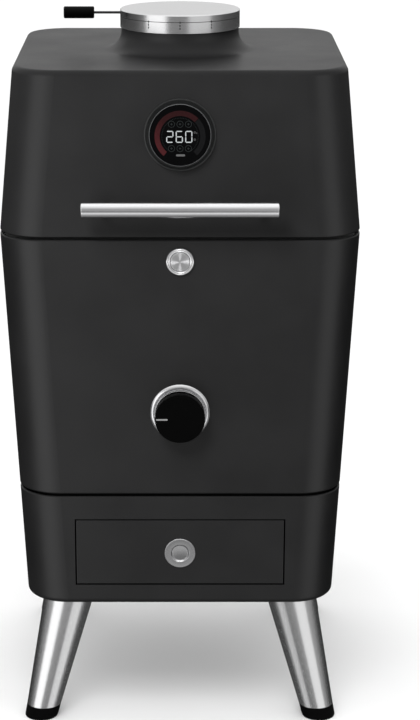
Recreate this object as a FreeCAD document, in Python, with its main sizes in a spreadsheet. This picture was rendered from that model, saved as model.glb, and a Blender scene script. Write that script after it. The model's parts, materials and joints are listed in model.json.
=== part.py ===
"""Cabinet smoker: a tapered charcoal oven with electric lighting, a hinged lid and an ash drawer.

Millimetres, +Z up. The origin lies on the floor under the middle of the oven, +X is the user's
right and -Y the front. The oven has three painted steel casings on four splayed legs: the base,
the body and the lid. Each is a rounded rectangle in plan, and narrows away from the upper seam.
"""
import FreeCAD, Part
import math
import os
import re

import Sketcher

DIMENSIONS = {
    # casings
    "casing_width": 540.0,
    "casing_depth": 525.0,
    "corner_radius": 66.0,
    "wall": 3.0,
    "seam_gap": 4.0,
    "rim_radius": 2.2,
    "lid_seam_height": 779.0,
    "base_seam_height": 372.5,
    "base_bottom": 191.0,
    "lid_top": 1025.0,
    "body_slope": 0.0525,
    "lid_slope": 0.0868,
    "base_edge_radius": 9.5,
    "lid_edge_radius": 9.0,
    # legs
    "leg_splay": 0.238,
    "foot_reach_x": 219.3,
    "foot_reach_y": 222.0,
    "leg_top_radius": 39.6,
    "leg_low_radius": 26.8,
    "leg_wall": 2.5,
    "leg_head": 8.0,
    "foot_height": 19.5,
    "foot_low_radius": 26.0,
    "foot_edge": 3.0,
    "bolt_radius": 5.0,
    # firebox and insulation
    "liner_inset": 22.0,
    "liner_wall": 2.0,
    "firebox_floor": 405.0,
    "rim_drop": 3.0,
    "gasket_inset": 8.0,
    "gasket_width": 10.0,
    "chute_half_width": 55.0,
    "chute_wall": 1.5,
    "chute_bottom": 345.0,
    # things in the firebox
    "basket_width": 300.0,
    "basket_depth": 280.0,
    "basket_bottom": 416.0,
    "element_height": 508.0,
    "element_radius": 4.0,
    "element_spread": 60.0,
    "pan_height": 590.0,
    "pan_width": 380.0,
    "pan_depth": 340.0,
    "pan_rise": 24.0,
    "lower_grill_height": 672.0,
    "upper_grill_height": 752.0,
    "rail_thickness": 7.0,
    "rod_radius": 2.5,
    "support_low": 570.0,
    "ledge": 16.0,
    # air intake and its dial
    "dial_height": 507.0,
    "dial_bezel_radius": 45.0,
    "dial_cap_radius": 37.75,
    "dial_reach": 31.0,
    "dial_cap_depth": 18.0,
    "shaft_radius": 4.0,
    "shaft_length": 24.0,
    "dial_hub_radius": 8.5,
    "intake_radius": 34.0,
    # power button
    "button_height": 745.0,
    "button_bezel_radius": 21.1,
    "button_radius": 14.85,
    # display in the lid
    "display_height": 932.8,
    "display_bezel_radius": 53.2,
    "display_lens_radius": 44.4,
    "display_rim_wall": 1.1,
    "display_rise": 15.6,
    "lens_thickness": 3.2,
    # lid handle
    "handle_height": 827.7,
    "handle_standoff": 45.0,
    "handle_radius": 12.0,
    "handle_length": 288.0,
    "handle_post_spacing": 230.0,
    "handle_post_radius": 6.0,
    # top vent
    "neck_radius": 91.0,
    "neck_bore": 88.0,
    "flare_radius": 27.5,
    "neck_top": 1057.5,
    "vent_cap_radius": 92.6,
    "vent_cap_bottom": 1058.5,
    "vent_cap_top": 1086.0,
    "vent_wall": 2.5,
    "vent_deck": 3.0,
    "vent_step": 31.0,
    "pivot_radius": 5.0,
    "bridge_rise": 8.0,
    "sleeve_radius": 86.0,
    "lever_height": 1079.7,
    "lever_radius": 2.0,
    "lever_end": 180.0,
    "grip_length": 47.0,
    "grip_radius": 9.25,
    # ash drawer
    "drawer_width": 320.0,
    "drawer_bottom": 225.0,
    "drawer_top": 331.0,
    "drawer_gap": 2.0,
    "pull_height": 277.0,
    "pull_radius": 24.0,
    "pull_cup_radius": 14.0,
    "tray_half_width": 146.0,
    "tray_length": 330.0,
    "runner_half_width": 157.5,
    # lid hinge
    "hinge_reach": 18.0,
    "hinge_spacing": 300.0,
    "knuckle_radius": 8.0,
    "pin_radius": 4.0,
    "hinge_plate": 3.0,
    # control box on the back
    "box_width": 210.0,
    "box_low": 420.0,
    "box_high": 620.0,
    "inlet_proud": 2.5,
    # running clearance of a shaft in its hole
    "running_fit": 0.05,
}

BASE_TOP = "(base_seam_height - seam_gap / 2)"
BODY_BOTTOM = "(base_seam_height + seam_gap / 2)"
BODY_TOP = "(lid_seam_height - seam_gap / 2)"
LID_BOTTOM = "(lid_seam_height + seam_gap / 2)"
BODY_LEDGE = f"({BODY_TOP} - rim_drop)"
LID_LEDGE = f"({LID_BOTTOM} + rim_drop)"
LID_CEILING = "(lid_top - liner_inset)"
LENS_BACK = "(display_rise - 0.4 - lens_thickness)"

SIDES = (-1, 1)

document = FreeCAD.newDocument("cabinet_smoker")
sheet = document.addObject("Spreadsheet::Sheet", "Sizes")
pieces = []


def fill_sheet():
    for row, (alias, number) in enumerate(DIMENSIONS.items(), start=1):
        sheet.set(f"A{row}", alias)
        sheet.set(f"B{row}", str(number))
        sheet.setAlias(f"B{row}", alias)
    document.recompute()


def in_sheet(formula):
    """The formula with each alias written as a cell of the sheet."""
    def as_cell(word):
        name = word.group()
        return f"Sizes.{name}" if name in DIMENSIONS else name
    return re.sub(r"[a-z][a-z_0-9]*", as_cell, str(formula))


def number(formula):
    return float(sheet.evalExpression(in_sheet(formula)))


# ---------------------------------------------------------------- shared geometry

def body_span(side, height, inset="0"):
    """Width or depth of the base and body at a height, less an inset on both sides."""
    return f"({side} - 2 * body_slope * ({BODY_TOP} - ({height})) - 2 * ({inset}))"


def lid_span(side, height, inset="0"):
    """Width or depth of the lid at a height, less an inset on both sides."""
    return f"({side} - 2 * lid_slope * (({height}) - {LID_BOTTOM}) - 2 * ({inset}))"


def body_front(height):
    """Distance of the body's front or back face from the middle."""
    return f"({body_span('casing_depth', height)} / 2)"


def lid_front(height):
    return f"({lid_span('casing_depth', height)} / 2)"


# How far the handle, and so the whole oven, reaches to the front. The control box balances it.
REACH = f"({lid_front('handle_height')} + handle_standoff * cos(atan(lid_slope)) + handle_radius)"


# ---------------------------------------------------------------- feature helpers

def new_body(label):
    body = document.addObject("PartDesign::Body", label)
    body.Label = label
    body.AllowCompound = True
    pieces.append(body)
    return body


def new_sketch(body, name, role, offset="0", turn="0", shift="0"):
    """An empty sketch on an origin plane, moved along its normal and its own Y, or turned about Y."""
    sketch = body.newObject("Sketcher::SketchObject", name)
    plane = [feature for feature in body.Origin.OriginFeatures if feature.Role == role][0]
    sketch.AttachmentSupport = [(plane, "")]
    sketch.MapMode = "FlatFace"
    if turn != "0":
        about_y = FreeCAD.Rotation(FreeCAD.Vector(0, 1, 0), number(turn))
        sketch.AttachmentOffset = FreeCAD.Placement(FreeCAD.Vector(), about_y)
        sketch.setExpression("AttachmentOffset.Rotation.Angle", in_sheet(turn))
    sketch.setExpression("AttachmentOffset.Base.z", in_sheet(offset))
    sketch.setExpression("AttachmentOffset.Base.y", in_sheet(shift))
    return sketch


def dimension(sketch, name, formula, kind, *where):
    """A named dimension of the sketch, bound to the sheet."""
    index = sketch.addConstraint(Sketcher.Constraint(kind, *where, number(formula)))
    sketch.renameConstraint(index, name)
    sketch.setExpression("Constraints." + name, in_sheet(formula))


def add_rounded_rectangle(sketch, width, depth, radius):
    half_x, half_y, round_off = number(width) / 2, number(depth) / 2, number(radius)
    x, y = half_x - round_off, half_y - round_off
    sides = [((-x, -half_y), (x, -half_y)), ((half_x, -y), (half_x, y)),
             ((x, half_y), (-x, half_y)), ((-half_x, y), (-half_x, -y))]
    for start, end in sides:
        sketch.addGeometry(Part.LineSegment(FreeCAD.Vector(*start, 0), FreeCAD.Vector(*end, 0)))
    for quarter, centre in enumerate([(x, -y), (x, y), (-x, y), (-x, -y)]):
        circle = Part.Circle(FreeCAD.Vector(*centre, 0), FreeCAD.Vector(0, 0, 1), round_off)
        start = math.radians(90 * quarter - 90)
        sketch.addGeometry(Part.ArcOfCircle(circle, start, start + math.pi / 2))
    for side in range(4):
        sketch.addConstraint(Sketcher.Constraint("Tangent", side, 2, 4 + side, 1))
        sketch.addConstraint(Sketcher.Constraint("Tangent", 4 + side, 2, (side + 1) % 4, 1))
    for corner in (5, 6, 7):
        sketch.addConstraint(Sketcher.Constraint("Equal", 4, corner))
    sketch.addConstraint(Sketcher.Constraint("Symmetric", 0, 1, 0, 2, -2))
    sketch.addConstraint(Sketcher.Constraint("Symmetric", 1, 1, 1, 2, -1))
    dimension(sketch, "width", width, "DistanceX", 3, 1, 1, 1)
    dimension(sketch, "depth", depth, "DistanceY", 0, 1, 2, 1)
    dimension(sketch, "radius", radius, "Radius", 4)


def add_circle(sketch, name, x, y, radius):
    centre = FreeCAD.Vector(number(x), number(y), 0)
    circle = sketch.addGeometry(Part.Circle(centre, FreeCAD.Vector(0, 0, 1), number(radius)))
    dimension(sketch, name + "_x", x, "DistanceX", -1, 1, circle, 3)
    dimension(sketch, name + "_y", y, "DistanceY", -1, 1, circle, 3)
    dimension(sketch, name + "_radius", radius, "Radius", circle)


def arc_between(start, end, radius):
    """The short arc from start to end: it turns left for a positive radius, right for a negative one."""
    chord_x, chord_y = end[0] - start[0], end[1] - start[1]
    chord = math.hypot(chord_x, chord_y)
    rise = math.sqrt(max(radius * radius - chord * chord / 4, 0))
    side = math.copysign(1, radius)
    centre_x = (start[0] + end[0]) / 2 - side * rise * chord_y / chord
    centre_y = (start[1] + end[1]) / 2 + side * rise * chord_x / chord
    angles = [math.atan2(point[1] - centre_y, point[0] - centre_x) for point in (start, end)]
    if side < 0:
        angles.reverse()
    if angles[1] < angles[0]:
        angles[1] += 2 * math.pi
    circle = Part.Circle(FreeCAD.Vector(centre_x, centre_y, 0), FreeCAD.Vector(0, 0, 1), abs(radius))
    return Part.ArcOfCircle(circle, *angles)


def add_outline(sketch, name, points):
    """A closed outline. A point is (x, y), or (x, y, radius) where an arc leads to the next point."""
    first = sketch.GeometryCount
    places = [(number(point[0]), number(point[1])) for point in points]
    radii = [number(point[2]) if len(point) == 3 else 0 for point in points]
    count = len(points)
    for index, radius in enumerate(radii):
        start, end = places[index], places[(index + 1) % count]
        if radius:
            sketch.addGeometry(arc_between(start, end, radius))
        else:
            sketch.addGeometry(Part.LineSegment(FreeCAD.Vector(*start, 0), FreeCAD.Vector(*end, 0)))

    def tip(index, which):
        return 3 - which if radii[index] < 0 else which

    for index in range(count):
        after = (index + 1) % count
        sketch.addConstraint(Sketcher.Constraint(
            "Coincident", first + index, tip(index, 2), first + after, tip(after, 1)))
    for index, point in enumerate(points):
        where = (-1, 1, first + index, tip(index, 1))
        dimension(sketch, f"{name}_x{index}", point[0], "DistanceX", *where)
        dimension(sketch, f"{name}_y{index}", point[1], "DistanceY", *where)
        if radii[index]:
            dimension(sketch, f"{name}_r{index}", f"abs({point[2]})", "Radius", first + index)


def rectangle(x_low, y_low, x_high, y_high):
    return [(x_low, y_low), (x_high, y_low), (x_high, y_high), (x_low, y_high)]


def square(half):
    return rectangle(f"-({half})", f"-({half})", half, half)


def outline_sketch(body, name, role, *outlines, offset="0", turn="0"):
    sketch = new_sketch(body, name, role, offset, turn)
    for index, points in enumerate(outlines):
        add_outline(sketch, f"outline{index}", points)
    return sketch


def circle_sketch(body, name, role, *circles, offset="0"):
    sketch = new_sketch(body, name, role, offset)
    for index, (x, y, radius) in enumerate(circles):
        add_circle(sketch, f"circle{index}", x, y, radius)
    return sketch


def section(body, name, height, width, depth, radius, shift="0"):
    sketch = new_sketch(body, name, "XY_Plane", height, shift=shift)
    add_rounded_rectangle(sketch, width, depth, radius)
    return sketch


def check_change(body, before, feature):
    """Each feature has to add or take away material, so one that does nothing stops the build."""
    document.recompute()
    after = body.Shape.Volume
    if abs(after - before) < 0.01:
        raise RuntimeError(f"{body.Label}: {feature.Label} changes nothing")
    return feature


def volume_of(body):
    return 0.0 if body.Shape.isNull() else body.Shape.Volume


def loft(body, name, sections, cut=False):
    before = volume_of(body)
    kind = "PartDesign::SubtractiveLoft" if cut else "PartDesign::AdditiveLoft"
    feature = body.newObject(kind, name)
    feature.Profile = sections[0]
    feature.Sections = sections[1:]
    feature.Ruled = True
    return check_change(body, before, feature)


def tapered_block(body, name, span, low, high, inset="0", cut=False):
    """A block between two heights that follows a casing's taper at an inset from its outside."""
    sections = []
    for end, height in (("low", low), ("high", high)):
        sections.append(section(
            body, f"{name}_{end}", height,
            span("casing_width", height, inset), span("casing_depth", height, inset),
            f"corner_radius - ({inset})"))
    return loft(body, name, sections, cut)


def oblique_cone(body, name, *circles, cut=False):
    """A round bar through level circles, each (x, y, height, radius), from the lowest up."""
    sections = [circle_sketch(body, f"{name}_{index}", "XY_Plane", (x, y, radius), offset=height)
                for index, (x, y, height, radius) in enumerate(circles)]
    return loft(body, name, sections, cut)


def pad(body, name, sketch, length, both_ways=False, backwards=False):
    before = volume_of(body)
    feature = body.newObject("PartDesign::Pad", name)
    feature.Profile = sketch
    feature.setExpression("Length", in_sheet(length))
    feature.SideType = "Symmetric" if both_ways else "One side"
    feature.Reversed = backwards
    return check_change(body, before, feature)


def pocket(body, name, sketch, length=None, both_ways=False, along_normal=False):
    """Cut against the sketch's normal, along it, or both ways; right through without a length."""
    before = volume_of(body)
    feature = body.newObject("PartDesign::Pocket", name)
    feature.Profile = sketch
    if length is None:
        feature.Type = "ThroughAll"
    else:
        feature.setExpression("Length", in_sheet(length))
    feature.SideType = "Symmetric" if both_ways else "One side"
    feature.Reversed = along_normal
    return check_change(body, before, feature)


def revolve(body, name, points, cut=False, angle="360", turn="0"):
    """Turn an outline of (radius, height) points about the upright axis."""
    before = volume_of(body)
    sketch = outline_sketch(body, f"{name}_outline", "XZ_Plane", points, turn=turn)
    feature = body.newObject("PartDesign::Groove" if cut else "PartDesign::Revolution", name)
    feature.Profile = sketch
    feature.ReferenceAxis = (sketch, ["V_Axis"])
    feature.setExpression("Angle", in_sheet(angle))
    if angle != "360":
        feature.Midplane = True
    return check_change(body, before, feature)


def level_edges(shape, height):
    """Names of the edges that lie level at a height."""
    names = []
    for index, edge in enumerate(shape.Edges, start=1):
        box = edge.BoundBox
        if max(abs(box.ZMin - height), abs(box.ZMax - height)) < 1e-3:
            names.append(f"Edge{index}")
    return names


def round_edges(body, name, edges, radius, chamfer=False):
    """Round or chamfer edges of the body's last feature."""
    before = volume_of(body)
    base = body.Tip
    feature = body.newObject("PartDesign::Chamfer" if chamfer else "PartDesign::Fillet", name)
    feature.Base = (base, edges)
    feature.setExpression("Size" if chamfer else "Radius", in_sheet(radius))
    return check_change(body, before, feature)


def pattern(body, name, feature, direction, length, count):
    """Repeat a feature in a row along a sketch axis."""
    before = volume_of(body)
    row = body.newObject("PartDesign::LinearPattern", name)
    row.Originals = [feature]
    row.Direction = (feature.Profile[0], [direction])
    row.setExpression("Length", in_sheet(length))
    row.Occurrences = count
    body.Tip = row
    return check_change(body, before, row)


def place(body, x="0", y="0", z="0", tilt=None):
    """Put a body at a point, tilted about the X axis by a bound angle."""
    if tilt is not None:
        turn = FreeCAD.Rotation(FreeCAD.Vector(1, 0, 0), number(tilt))
        body.Placement = FreeCAD.Placement(FreeCAD.Vector(), turn)
        body.setExpression("Placement.Rotation.Angle", in_sheet(tilt))
    for axis, formula in (("x", x), ("y", y), ("z", z)):
        body.setExpression(f"Placement.Base.{axis}", in_sheet(formula))


def place_on_body_front(body, height, x="0"):
    """Local Z becomes the front face's outward normal, and local Y runs up the face."""
    place(body, x, f"-{body_front(height)}", height, "90 deg + atan(body_slope)")


def place_on_lid_front(body, height, x="0"):
    place(body, x, f"-{lid_front(height)}", height, "90 deg - atan(lid_slope)")


# ---------------------------------------------------------------- casings

def make_base_shell():
    body = new_body("base_shell")
    floor = "base_bottom + wall"
    tapered_block(body, "outside", body_span, "base_bottom", BASE_TOP)
    tapered_block(body, "inside", body_span, floor, BASE_TOP, "wall", cut=True)
    round_edges(body, "inner_edge", level_edges(body.Shape, number(floor)), "base_edge_radius - wall")
    round_edges(body, "outer_edge", level_edges(body.Shape, number("base_bottom")), "base_edge_radius")
    half_rim = number(body_span("casing_width", BASE_TOP)) / 2 - number("wall") / 2
    outer_rim = [name for name in level_edges(body.Shape, number(BASE_TOP))
                 if is_outer(body.Shape.getElement(name), half_rim, BASE_TOP)]
    round_edges(body, "rim", outer_rim, "rim_radius")
    half_opening = "drawer_width / 2 + drawer_gap"
    opening = rectangle(f"-({half_opening})", "drawer_bottom - drawer_gap",
                        half_opening, "drawer_top + drawer_gap")
    pocket(body, "drawer_opening", outline_sketch(body, "opening", "XZ_Plane", opening),
           along_normal=True)
    holes = [(x, y, "bolt_radius + 0.5") for x, y in leg_centres("base_bottom")]
    pocket(body, "leg_holes", circle_sketch(body, "holes", "XY_Plane", *holes), along_normal=True)


def is_outer(edge, half_width, height):
    """True where a rim edge lies nearer to the casing's outside than to its inside."""
    half_depth = half_width - number("(casing_width - casing_depth) / 2")
    corner = number("corner_radius") - number("wall") / 2
    middle = edge.valueAt((edge.FirstParameter + edge.LastParameter) / 2)
    over_x = max(abs(middle.x) - (half_width - corner), 0)
    over_y = max(abs(middle.y) - (half_depth - corner), 0)
    return math.hypot(over_x, over_y) > corner


def make_seam_spacer():
    """The ring that the body stands on inside the base, set back to leave the dark seam."""
    body = new_body("seam_spacer")
    low = f"{BASE_TOP} - 8"
    tapered_block(body, "upright", body_span, low, BODY_BOTTOM, "8")
    tapered_block(body, "foot", body_span, low, f"{BASE_TOP} - 2", "wall")
    tapered_block(body, "hollow", body_span, low, BODY_BOTTOM, "20", cut=True)


def make_body_shell():
    body = new_body("body_shell")
    floor = f"{BODY_BOTTOM} + wall"
    tapered_block(body, "outside", body_span, BODY_BOTTOM, BODY_TOP)
    tapered_block(body, "inside", body_span, floor, BODY_TOP, "wall", cut=True)
    round_edges(body, "lower_edge", level_edges(body.Shape, number(BODY_BOTTOM)), "wall")
    half_rim = number("casing_width") / 2 - number("wall") / 2
    outer_rim = [name for name in level_edges(body.Shape, number(BODY_TOP))
                 if is_outer(body.Shape.getElement(name), half_rim, BODY_TOP)]
    round_edges(body, "rim", outer_rim, "rim_radius")
    chute = outline_sketch(body, "chute_hole", "XY_Plane", square("chute_half_width + 3"))
    pocket(body, "chute_cut", chute, along_normal=True)
    front = circle_sketch(body, "front_holes", "XZ_Plane", ("0", "button_height", "button_radius + 1"),
                          ("0", "dial_height", "intake_radius + 0.3"))
    pocket(body, "front_cut", front, along_normal=True)
    back = circle_sketch(body, "back_holes", "XZ_Plane", *element_pair("element_radius + 4"))
    pocket(body, "back_cut", back)


def make_firebox_liner():
    """The enamelled inner box, hung from a flange under the body's rim."""
    body = new_body("firebox_liner")
    floor = "firebox_floor + liner_wall"
    tapered_block(body, "outside", body_span, "firebox_floor", BODY_LEDGE, "liner_inset")
    tapered_block(body, "flange", body_span, f"{BODY_LEDGE} - liner_wall", BODY_LEDGE, "wall")
    tapered_block(body, "inside", body_span, floor, BODY_LEDGE, "liner_inset + liner_wall", cut=True)
    ash = outline_sketch(body, "ash_hole", "XY_Plane", square("chute_half_width + 3"))
    pocket(body, "ash_cut", ash, along_normal=True)
    front = circle_sketch(body, "air_hole", "XZ_Plane", ("0", "dial_height", "intake_radius - 2"))
    pocket(body, "air_cut", front, along_normal=True)
    back = circle_sketch(body, "element_holes", "XZ_Plane", *element_pair("element_radius + 1"))
    pocket(body, "element_cut", back)


def make_body_insulation():
    body = new_body("body_insulation")
    tapered_block(body, "outside", body_span, f"{BODY_BOTTOM} + wall", f"{BODY_LEDGE} - liner_wall", "wall")
    tapered_block(body, "inside", body_span, "firebox_floor", f"{BODY_LEDGE} - liner_wall",
                  "liner_inset", cut=True)
    chute = outline_sketch(body, "chute_hole", "XY_Plane", square("chute_half_width + 4"))
    pocket(body, "chute_cut", chute, along_normal=True)
    front = circle_sketch(body, "front_holes", "XZ_Plane", ("0", "button_height", "button_radius + 4"),
                          ("0", "dial_height", "intake_radius + 5"))
    pocket(body, "front_cut", front, along_normal=True)
    half = "element_spread + 25"
    window = rectangle(f"-({half})", "element_height - 25", half, "element_height + 25")
    pocket(body, "back_cut", outline_sketch(body, "back_window", "XZ_Plane", window))


def make_body_gasket():
    body = new_body("body_gasket")
    high = f"{LID_LEDGE} - 0.4"
    tapered_block(body, "rope", body_span, BODY_LEDGE, high, "gasket_inset")
    tapered_block(body, "hollow", body_span, BODY_LEDGE, high, "gasket_inset + gasket_width", cut=True)


# ---------------------------------------------------------------- legs

CORNERS = {
    "front_left": (-1, -1),
    "front_right": (1, -1),
    "back_left": (-1, 1),
    "back_right": (1, 1),
}


def leg_centre(corner, height):
    side_x, side_y = CORNERS[corner]
    return (f"{side_x} * (foot_reach_x - leg_splay * ({height}))",
            f"{side_y} * (foot_reach_y - leg_splay * ({height}))")


def leg_centres(height):
    return [leg_centre(corner, height) for corner in CORNERS]


def make_leg(corner):
    body = new_body(f"leg_{corner}")
    low, head, high = "foot_height", "base_bottom - leg_head", "base_bottom"
    grow = "(leg_top_radius - leg_low_radius) / (base_bottom - foot_height)"
    head_radius = f"leg_top_radius - leg_head * {grow} - leg_wall"
    oblique_cone(body, "tube", (*leg_centre(corner, low), low, "leg_low_radius"),
                 (*leg_centre(corner, high), high, "leg_top_radius"))
    oblique_cone(body, "bore", (*leg_centre(corner, low), low, "leg_low_radius - leg_wall"),
                 (*leg_centre(corner, head), head, head_radius), cut=True)
    thread = circle_sketch(body, "thread", "XY_Plane", (*leg_centre(corner, high), "bolt_radius"))
    pocket(body, "thread_hole", thread, along_normal=True)


def make_foot(corner):
    """A rubber cap under the leg with a plug that holds it in the tube."""
    body = new_body(f"foot_{corner}")
    plug_top = "foot_height + 18"
    plug_radius = "leg_low_radius - leg_wall - 0.2"
    circles = []
    for angle in (0, 30, 60, 90):
        height = f"foot_edge * (1 - cos({angle} deg))"
        radius = f"foot_low_radius - foot_edge * (1 - sin({angle} deg))"
        circles.append((*leg_centre(corner, height), height, radius))
    circles.append((*leg_centre(corner, "foot_height"), "foot_height", "leg_low_radius"))
    oblique_cone(body, "cap", *circles)
    oblique_cone(body, "plug", (*leg_centre(corner, "foot_height"), "foot_height", plug_radius),
                 (*leg_centre(corner, plug_top), plug_top, plug_radius))


def add_leg_bolts(body):
    seat = "base_bottom + wall"
    centres = leg_centres("base_bottom")
    heads = circle_sketch(body, "bolt_heads", "XY_Plane",
                          *[(x, y, "bolt_radius + 3.5") for x, y in centres], offset=seat)
    pad(body, "bolt_head", heads, "6")
    shanks = circle_sketch(body, "bolt_shanks", "XY_Plane",
                           *[(x, y, "bolt_radius") for x, y in centres], offset=seat)
    pad(body, "bolt_shank", shanks, "wall + leg_head", backwards=True)


# ---------------------------------------------------------------- inside the firebox

def element_pair(radius):
    return [("-element_spread", "element_height", radius), ("element_spread", "element_height", radius)]


def make_ash_chute():
    """A square sheet tube that hangs in the firebox floor from a flange round its top."""
    body = new_body("ash_chute")
    seat = "firebox_floor + liner_wall"
    inside, outside = square("chute_half_width"), square("chute_half_width + chute_wall")
    tube = outline_sketch(body, "tube", "XY_Plane", outside, inside, offset="chute_bottom")
    pad(body, "walls", tube, f"{seat} + chute_wall - chute_bottom")
    rim = outline_sketch(body, "rim", "XY_Plane", square("chute_half_width + 14"), inside, offset=seat)
    pad(body, "flange", rim, "chute_wall")


def make_charcoal_basket():
    body = new_body("charcoal_basket")
    rim = "element_height - element_radius - 0.2"
    floor = "basket_bottom + 2"
    height = f"({rim}) - basket_bottom"
    block = section(body, "block", "basket_bottom", "basket_width", "basket_depth", "20")
    pad(body, "walls", block, height)
    hollow = section(body, "hollow", rim, "basket_width - 4", "basket_depth - 4", "18")
    pocket(body, "inside", hollow, f"({height}) - 2")
    slot = outline_sketch(body, "slot", "XY_Plane", rectangle("-125", "-100", "-115", "100"), offset=floor)
    slots = pocket(body, "grate_slot", slot, "2")
    pattern(body, "grate", slots, "H_Axis", "230", 11)
    stand = "firebox_floor + liner_wall"
    legs = [(f"{x} * 125", f"{y} * 115", "8") for x, y in CORNERS.values()]
    feet = circle_sketch(body, "feet", "XY_Plane", *legs, offset=stand)
    pad(body, "stand", feet, f"basket_bottom - ({stand})")


def make_heating_element():
    body = new_body("heating_element")
    back = f"{body_front('element_height')} + 12"
    turn = "-60"
    path = new_sketch(body, "path", "XY_Plane", "element_height")
    spread, low, high = number("element_spread"), number(turn), number(back)
    bend = Part.Circle(FreeCAD.Vector(0, low, 0), FreeCAD.Vector(0, 0, 1), spread)
    path.addGeometry(Part.LineSegment(FreeCAD.Vector(-spread, high, 0), FreeCAD.Vector(-spread, low, 0)))
    path.addGeometry(Part.ArcOfCircle(bend, math.pi, 2 * math.pi))
    path.addGeometry(Part.LineSegment(FreeCAD.Vector(spread, low, 0), FreeCAD.Vector(spread, high, 0)))
    path.addConstraint(Sketcher.Constraint("Tangent", 0, 2, 1, 1))
    path.addConstraint(Sketcher.Constraint("Tangent", 1, 2, 2, 1))
    dimension(path, "start_x", "-element_spread", "DistanceX", -1, 1, 0, 1)
    dimension(path, "start_y", back, "DistanceY", -1, 1, 0, 1)
    dimension(path, "end_x", "element_spread", "DistanceX", -1, 1, 2, 2)
    dimension(path, "end_y", back, "DistanceY", -1, 1, 2, 2)
    dimension(path, "turn_x", "0", "DistanceX", -1, 1, 1, 3)
    dimension(path, "turn_y", turn, "DistanceY", -1, 1, 1, 3)
    round_tube = circle_sketch(body, "round", "XZ_Plane",
                               ("-element_spread", "element_height", "element_radius"),
                               offset=f"-({back})")
    before = volume_of(body)
    tube = body.newObject("PartDesign::AdditivePipe", "tube")
    tube.Profile = round_tube
    tube.Spine = (path, ["Edge1", "Edge2", "Edge3"])
    check_change(body, before, tube)


def make_element_flange():
    """The plate that holds the heating element's two ends behind the firebox."""
    body = new_body("element_flange")
    half = "element_spread + 20"
    plate = outline_sketch(body, "plate", "XY_Plane", rectangle(f"-({half})", "-20", half, "20"),
                           offset="0.3")
    pad(body, "flange", plate, "3")
    posts = circle_sketch(body, "posts", "XY_Plane", ("-element_spread", "0", "9"),
                          ("element_spread", "0", "9"), offset="3.3")
    pad(body, "gland", posts, "10")
    holes = circle_sketch(body, "holes", "XY_Plane", ("-element_spread", "0", "element_radius + 0.8"),
                          ("element_spread", "0", "element_radius + 0.8"))
    pocket(body, "bores", holes, both_ways=True)
    back = f"{body_front('element_height')} - liner_inset"
    place(body, "0", back, "element_height", "-90 deg - atan(body_slope)")


def make_drip_pan():
    body = new_body("drip_pan")
    block = section(body, "block", "pan_height", "pan_width", "pan_depth", "30")
    pad(body, "dish", block, "pan_rise")
    round_edges(body, "lower_edge", level_edges(body.Shape, number("pan_height")), "6")
    hollow = section(body, "hollow", "pan_height + pan_rise", "pan_width - 4", "pan_depth - 4", "28")
    pocket(body, "inside", hollow, "pan_rise - 2")
    rim = section(body, "rim", "pan_height + pan_rise - 1.5", "pan_width + 48", "pan_depth", "30")
    pad(body, "lip", rim, "1.5")
    mouth = section(body, "mouth", "pan_height + pan_rise", "pan_width - 4", "pan_depth - 4", "28")
    pocket(body, "mouth_cut", mouth, "10")


def make_grill_supports():
    """A comb of three ledges on each side wall of the firebox, folded from one strip."""
    body = new_body("grill_supports")
    high = "upper_grill_height + 10"
    ledges = ["pan_height + 21", "lower_grill_height - 5.5", "upper_grill_height - 5.5"]

    def wall_at(height, inset):
        return f"({body_span('casing_width', height, 'liner_inset + liner_wall')} / 2 - ({inset}))"

    outline = [(wall_at("support_low", "0"), "support_low"), (wall_at(high, "0"), high),
               (wall_at(high, "2"), high)]
    for height in reversed(ledges):
        top, under = f"{height} + 1.5", height
        outline += [(wall_at(top, "2"), top), (wall_at(top, "ledge"), top),
                    (wall_at(top, "ledge"), under), (wall_at(under, "2"), under)]
    outline.append((wall_at("support_low", "2"), "support_low"))
    mirrored = [(f"-{x}", height) for x, height in outline]
    pad(body, "comb", outline_sketch(body, "combs", "XZ_Plane", outline, mirrored), "320", both_ways=True)


def make_grill(label, height, depth, back, rods):
    """A rounded rod frame with cooking rods from front to back and two cross bars under them."""
    body = new_body(label)
    width = f"({body_span('casing_width', height, 'liner_inset + liner_wall')} - 9)"
    middle = f"({back}) - ({depth}) / 2"
    half_x = f"({width}) / 2"
    rail = section(body, "rail", f"{height} - rail_thickness / 2", width, depth, "30", middle)
    pad(body, "frame", rail, "rail_thickness")
    opening = section(body, "opening", f"{height} + rail_thickness / 2", f"{width} - 2 * rail_thickness",
                      f"({depth}) - 2 * rail_thickness", "30 - rail_thickness", middle)
    pocket(body, "opening_cut", opening, "rail_thickness")
    rod = circle_sketch(body, "rod", "XZ_Plane", (f"20 - ({half_x})", f"{height} + 0.5", "rod_radius"),
                        offset=f"3 - ({back})")
    first = pad(body, "rod_pad", rod, f"({depth}) - 6")
    pattern(body, "rods", first, "H_Axis", f"{width} - 40", rods)
    cross = [(f"{middle} + ({side} * ({depth}) / 4)", f"{height} - 1", "rod_radius") for side in SIDES]
    bars = circle_sketch(body, "bars", "YZ_Plane", *cross)
    pad(body, "cross_bars", bars, f"{width} - 6", both_ways=True)


# ---------------------------------------------------------------- air intake and dial

def make_intake_duct():
    """A short tube from the front casing to the firebox."""
    body = new_body("intake_duct")
    revolve(body, "tube", [
        ("intake_radius + 1", "0.2 - liner_inset"), ("intake_radius + 3", "0.2 - liner_inset"),
        ("intake_radius + 3", "-wall - 0.2"), ("intake_radius + 1", "-wall - 0.2")])
    place_on_body_front(body, "dial_height")


def half_ring(inner, outer, side):
    """The part of a ring that lies 3 mm or more above the middle, or below it for side -1."""
    level = f"{side} * 3"
    wide = f"sqrt(({outer}) * ({outer}) - 9)"
    narrow = f"sqrt(({inner}) * ({inner}) - 9)"
    return [(wide, level, f"{side} * ({outer})"), (f"-{wide}", level),
            (f"-{narrow}", level, f"{-side} * ({inner})"), (narrow, level)]


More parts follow.
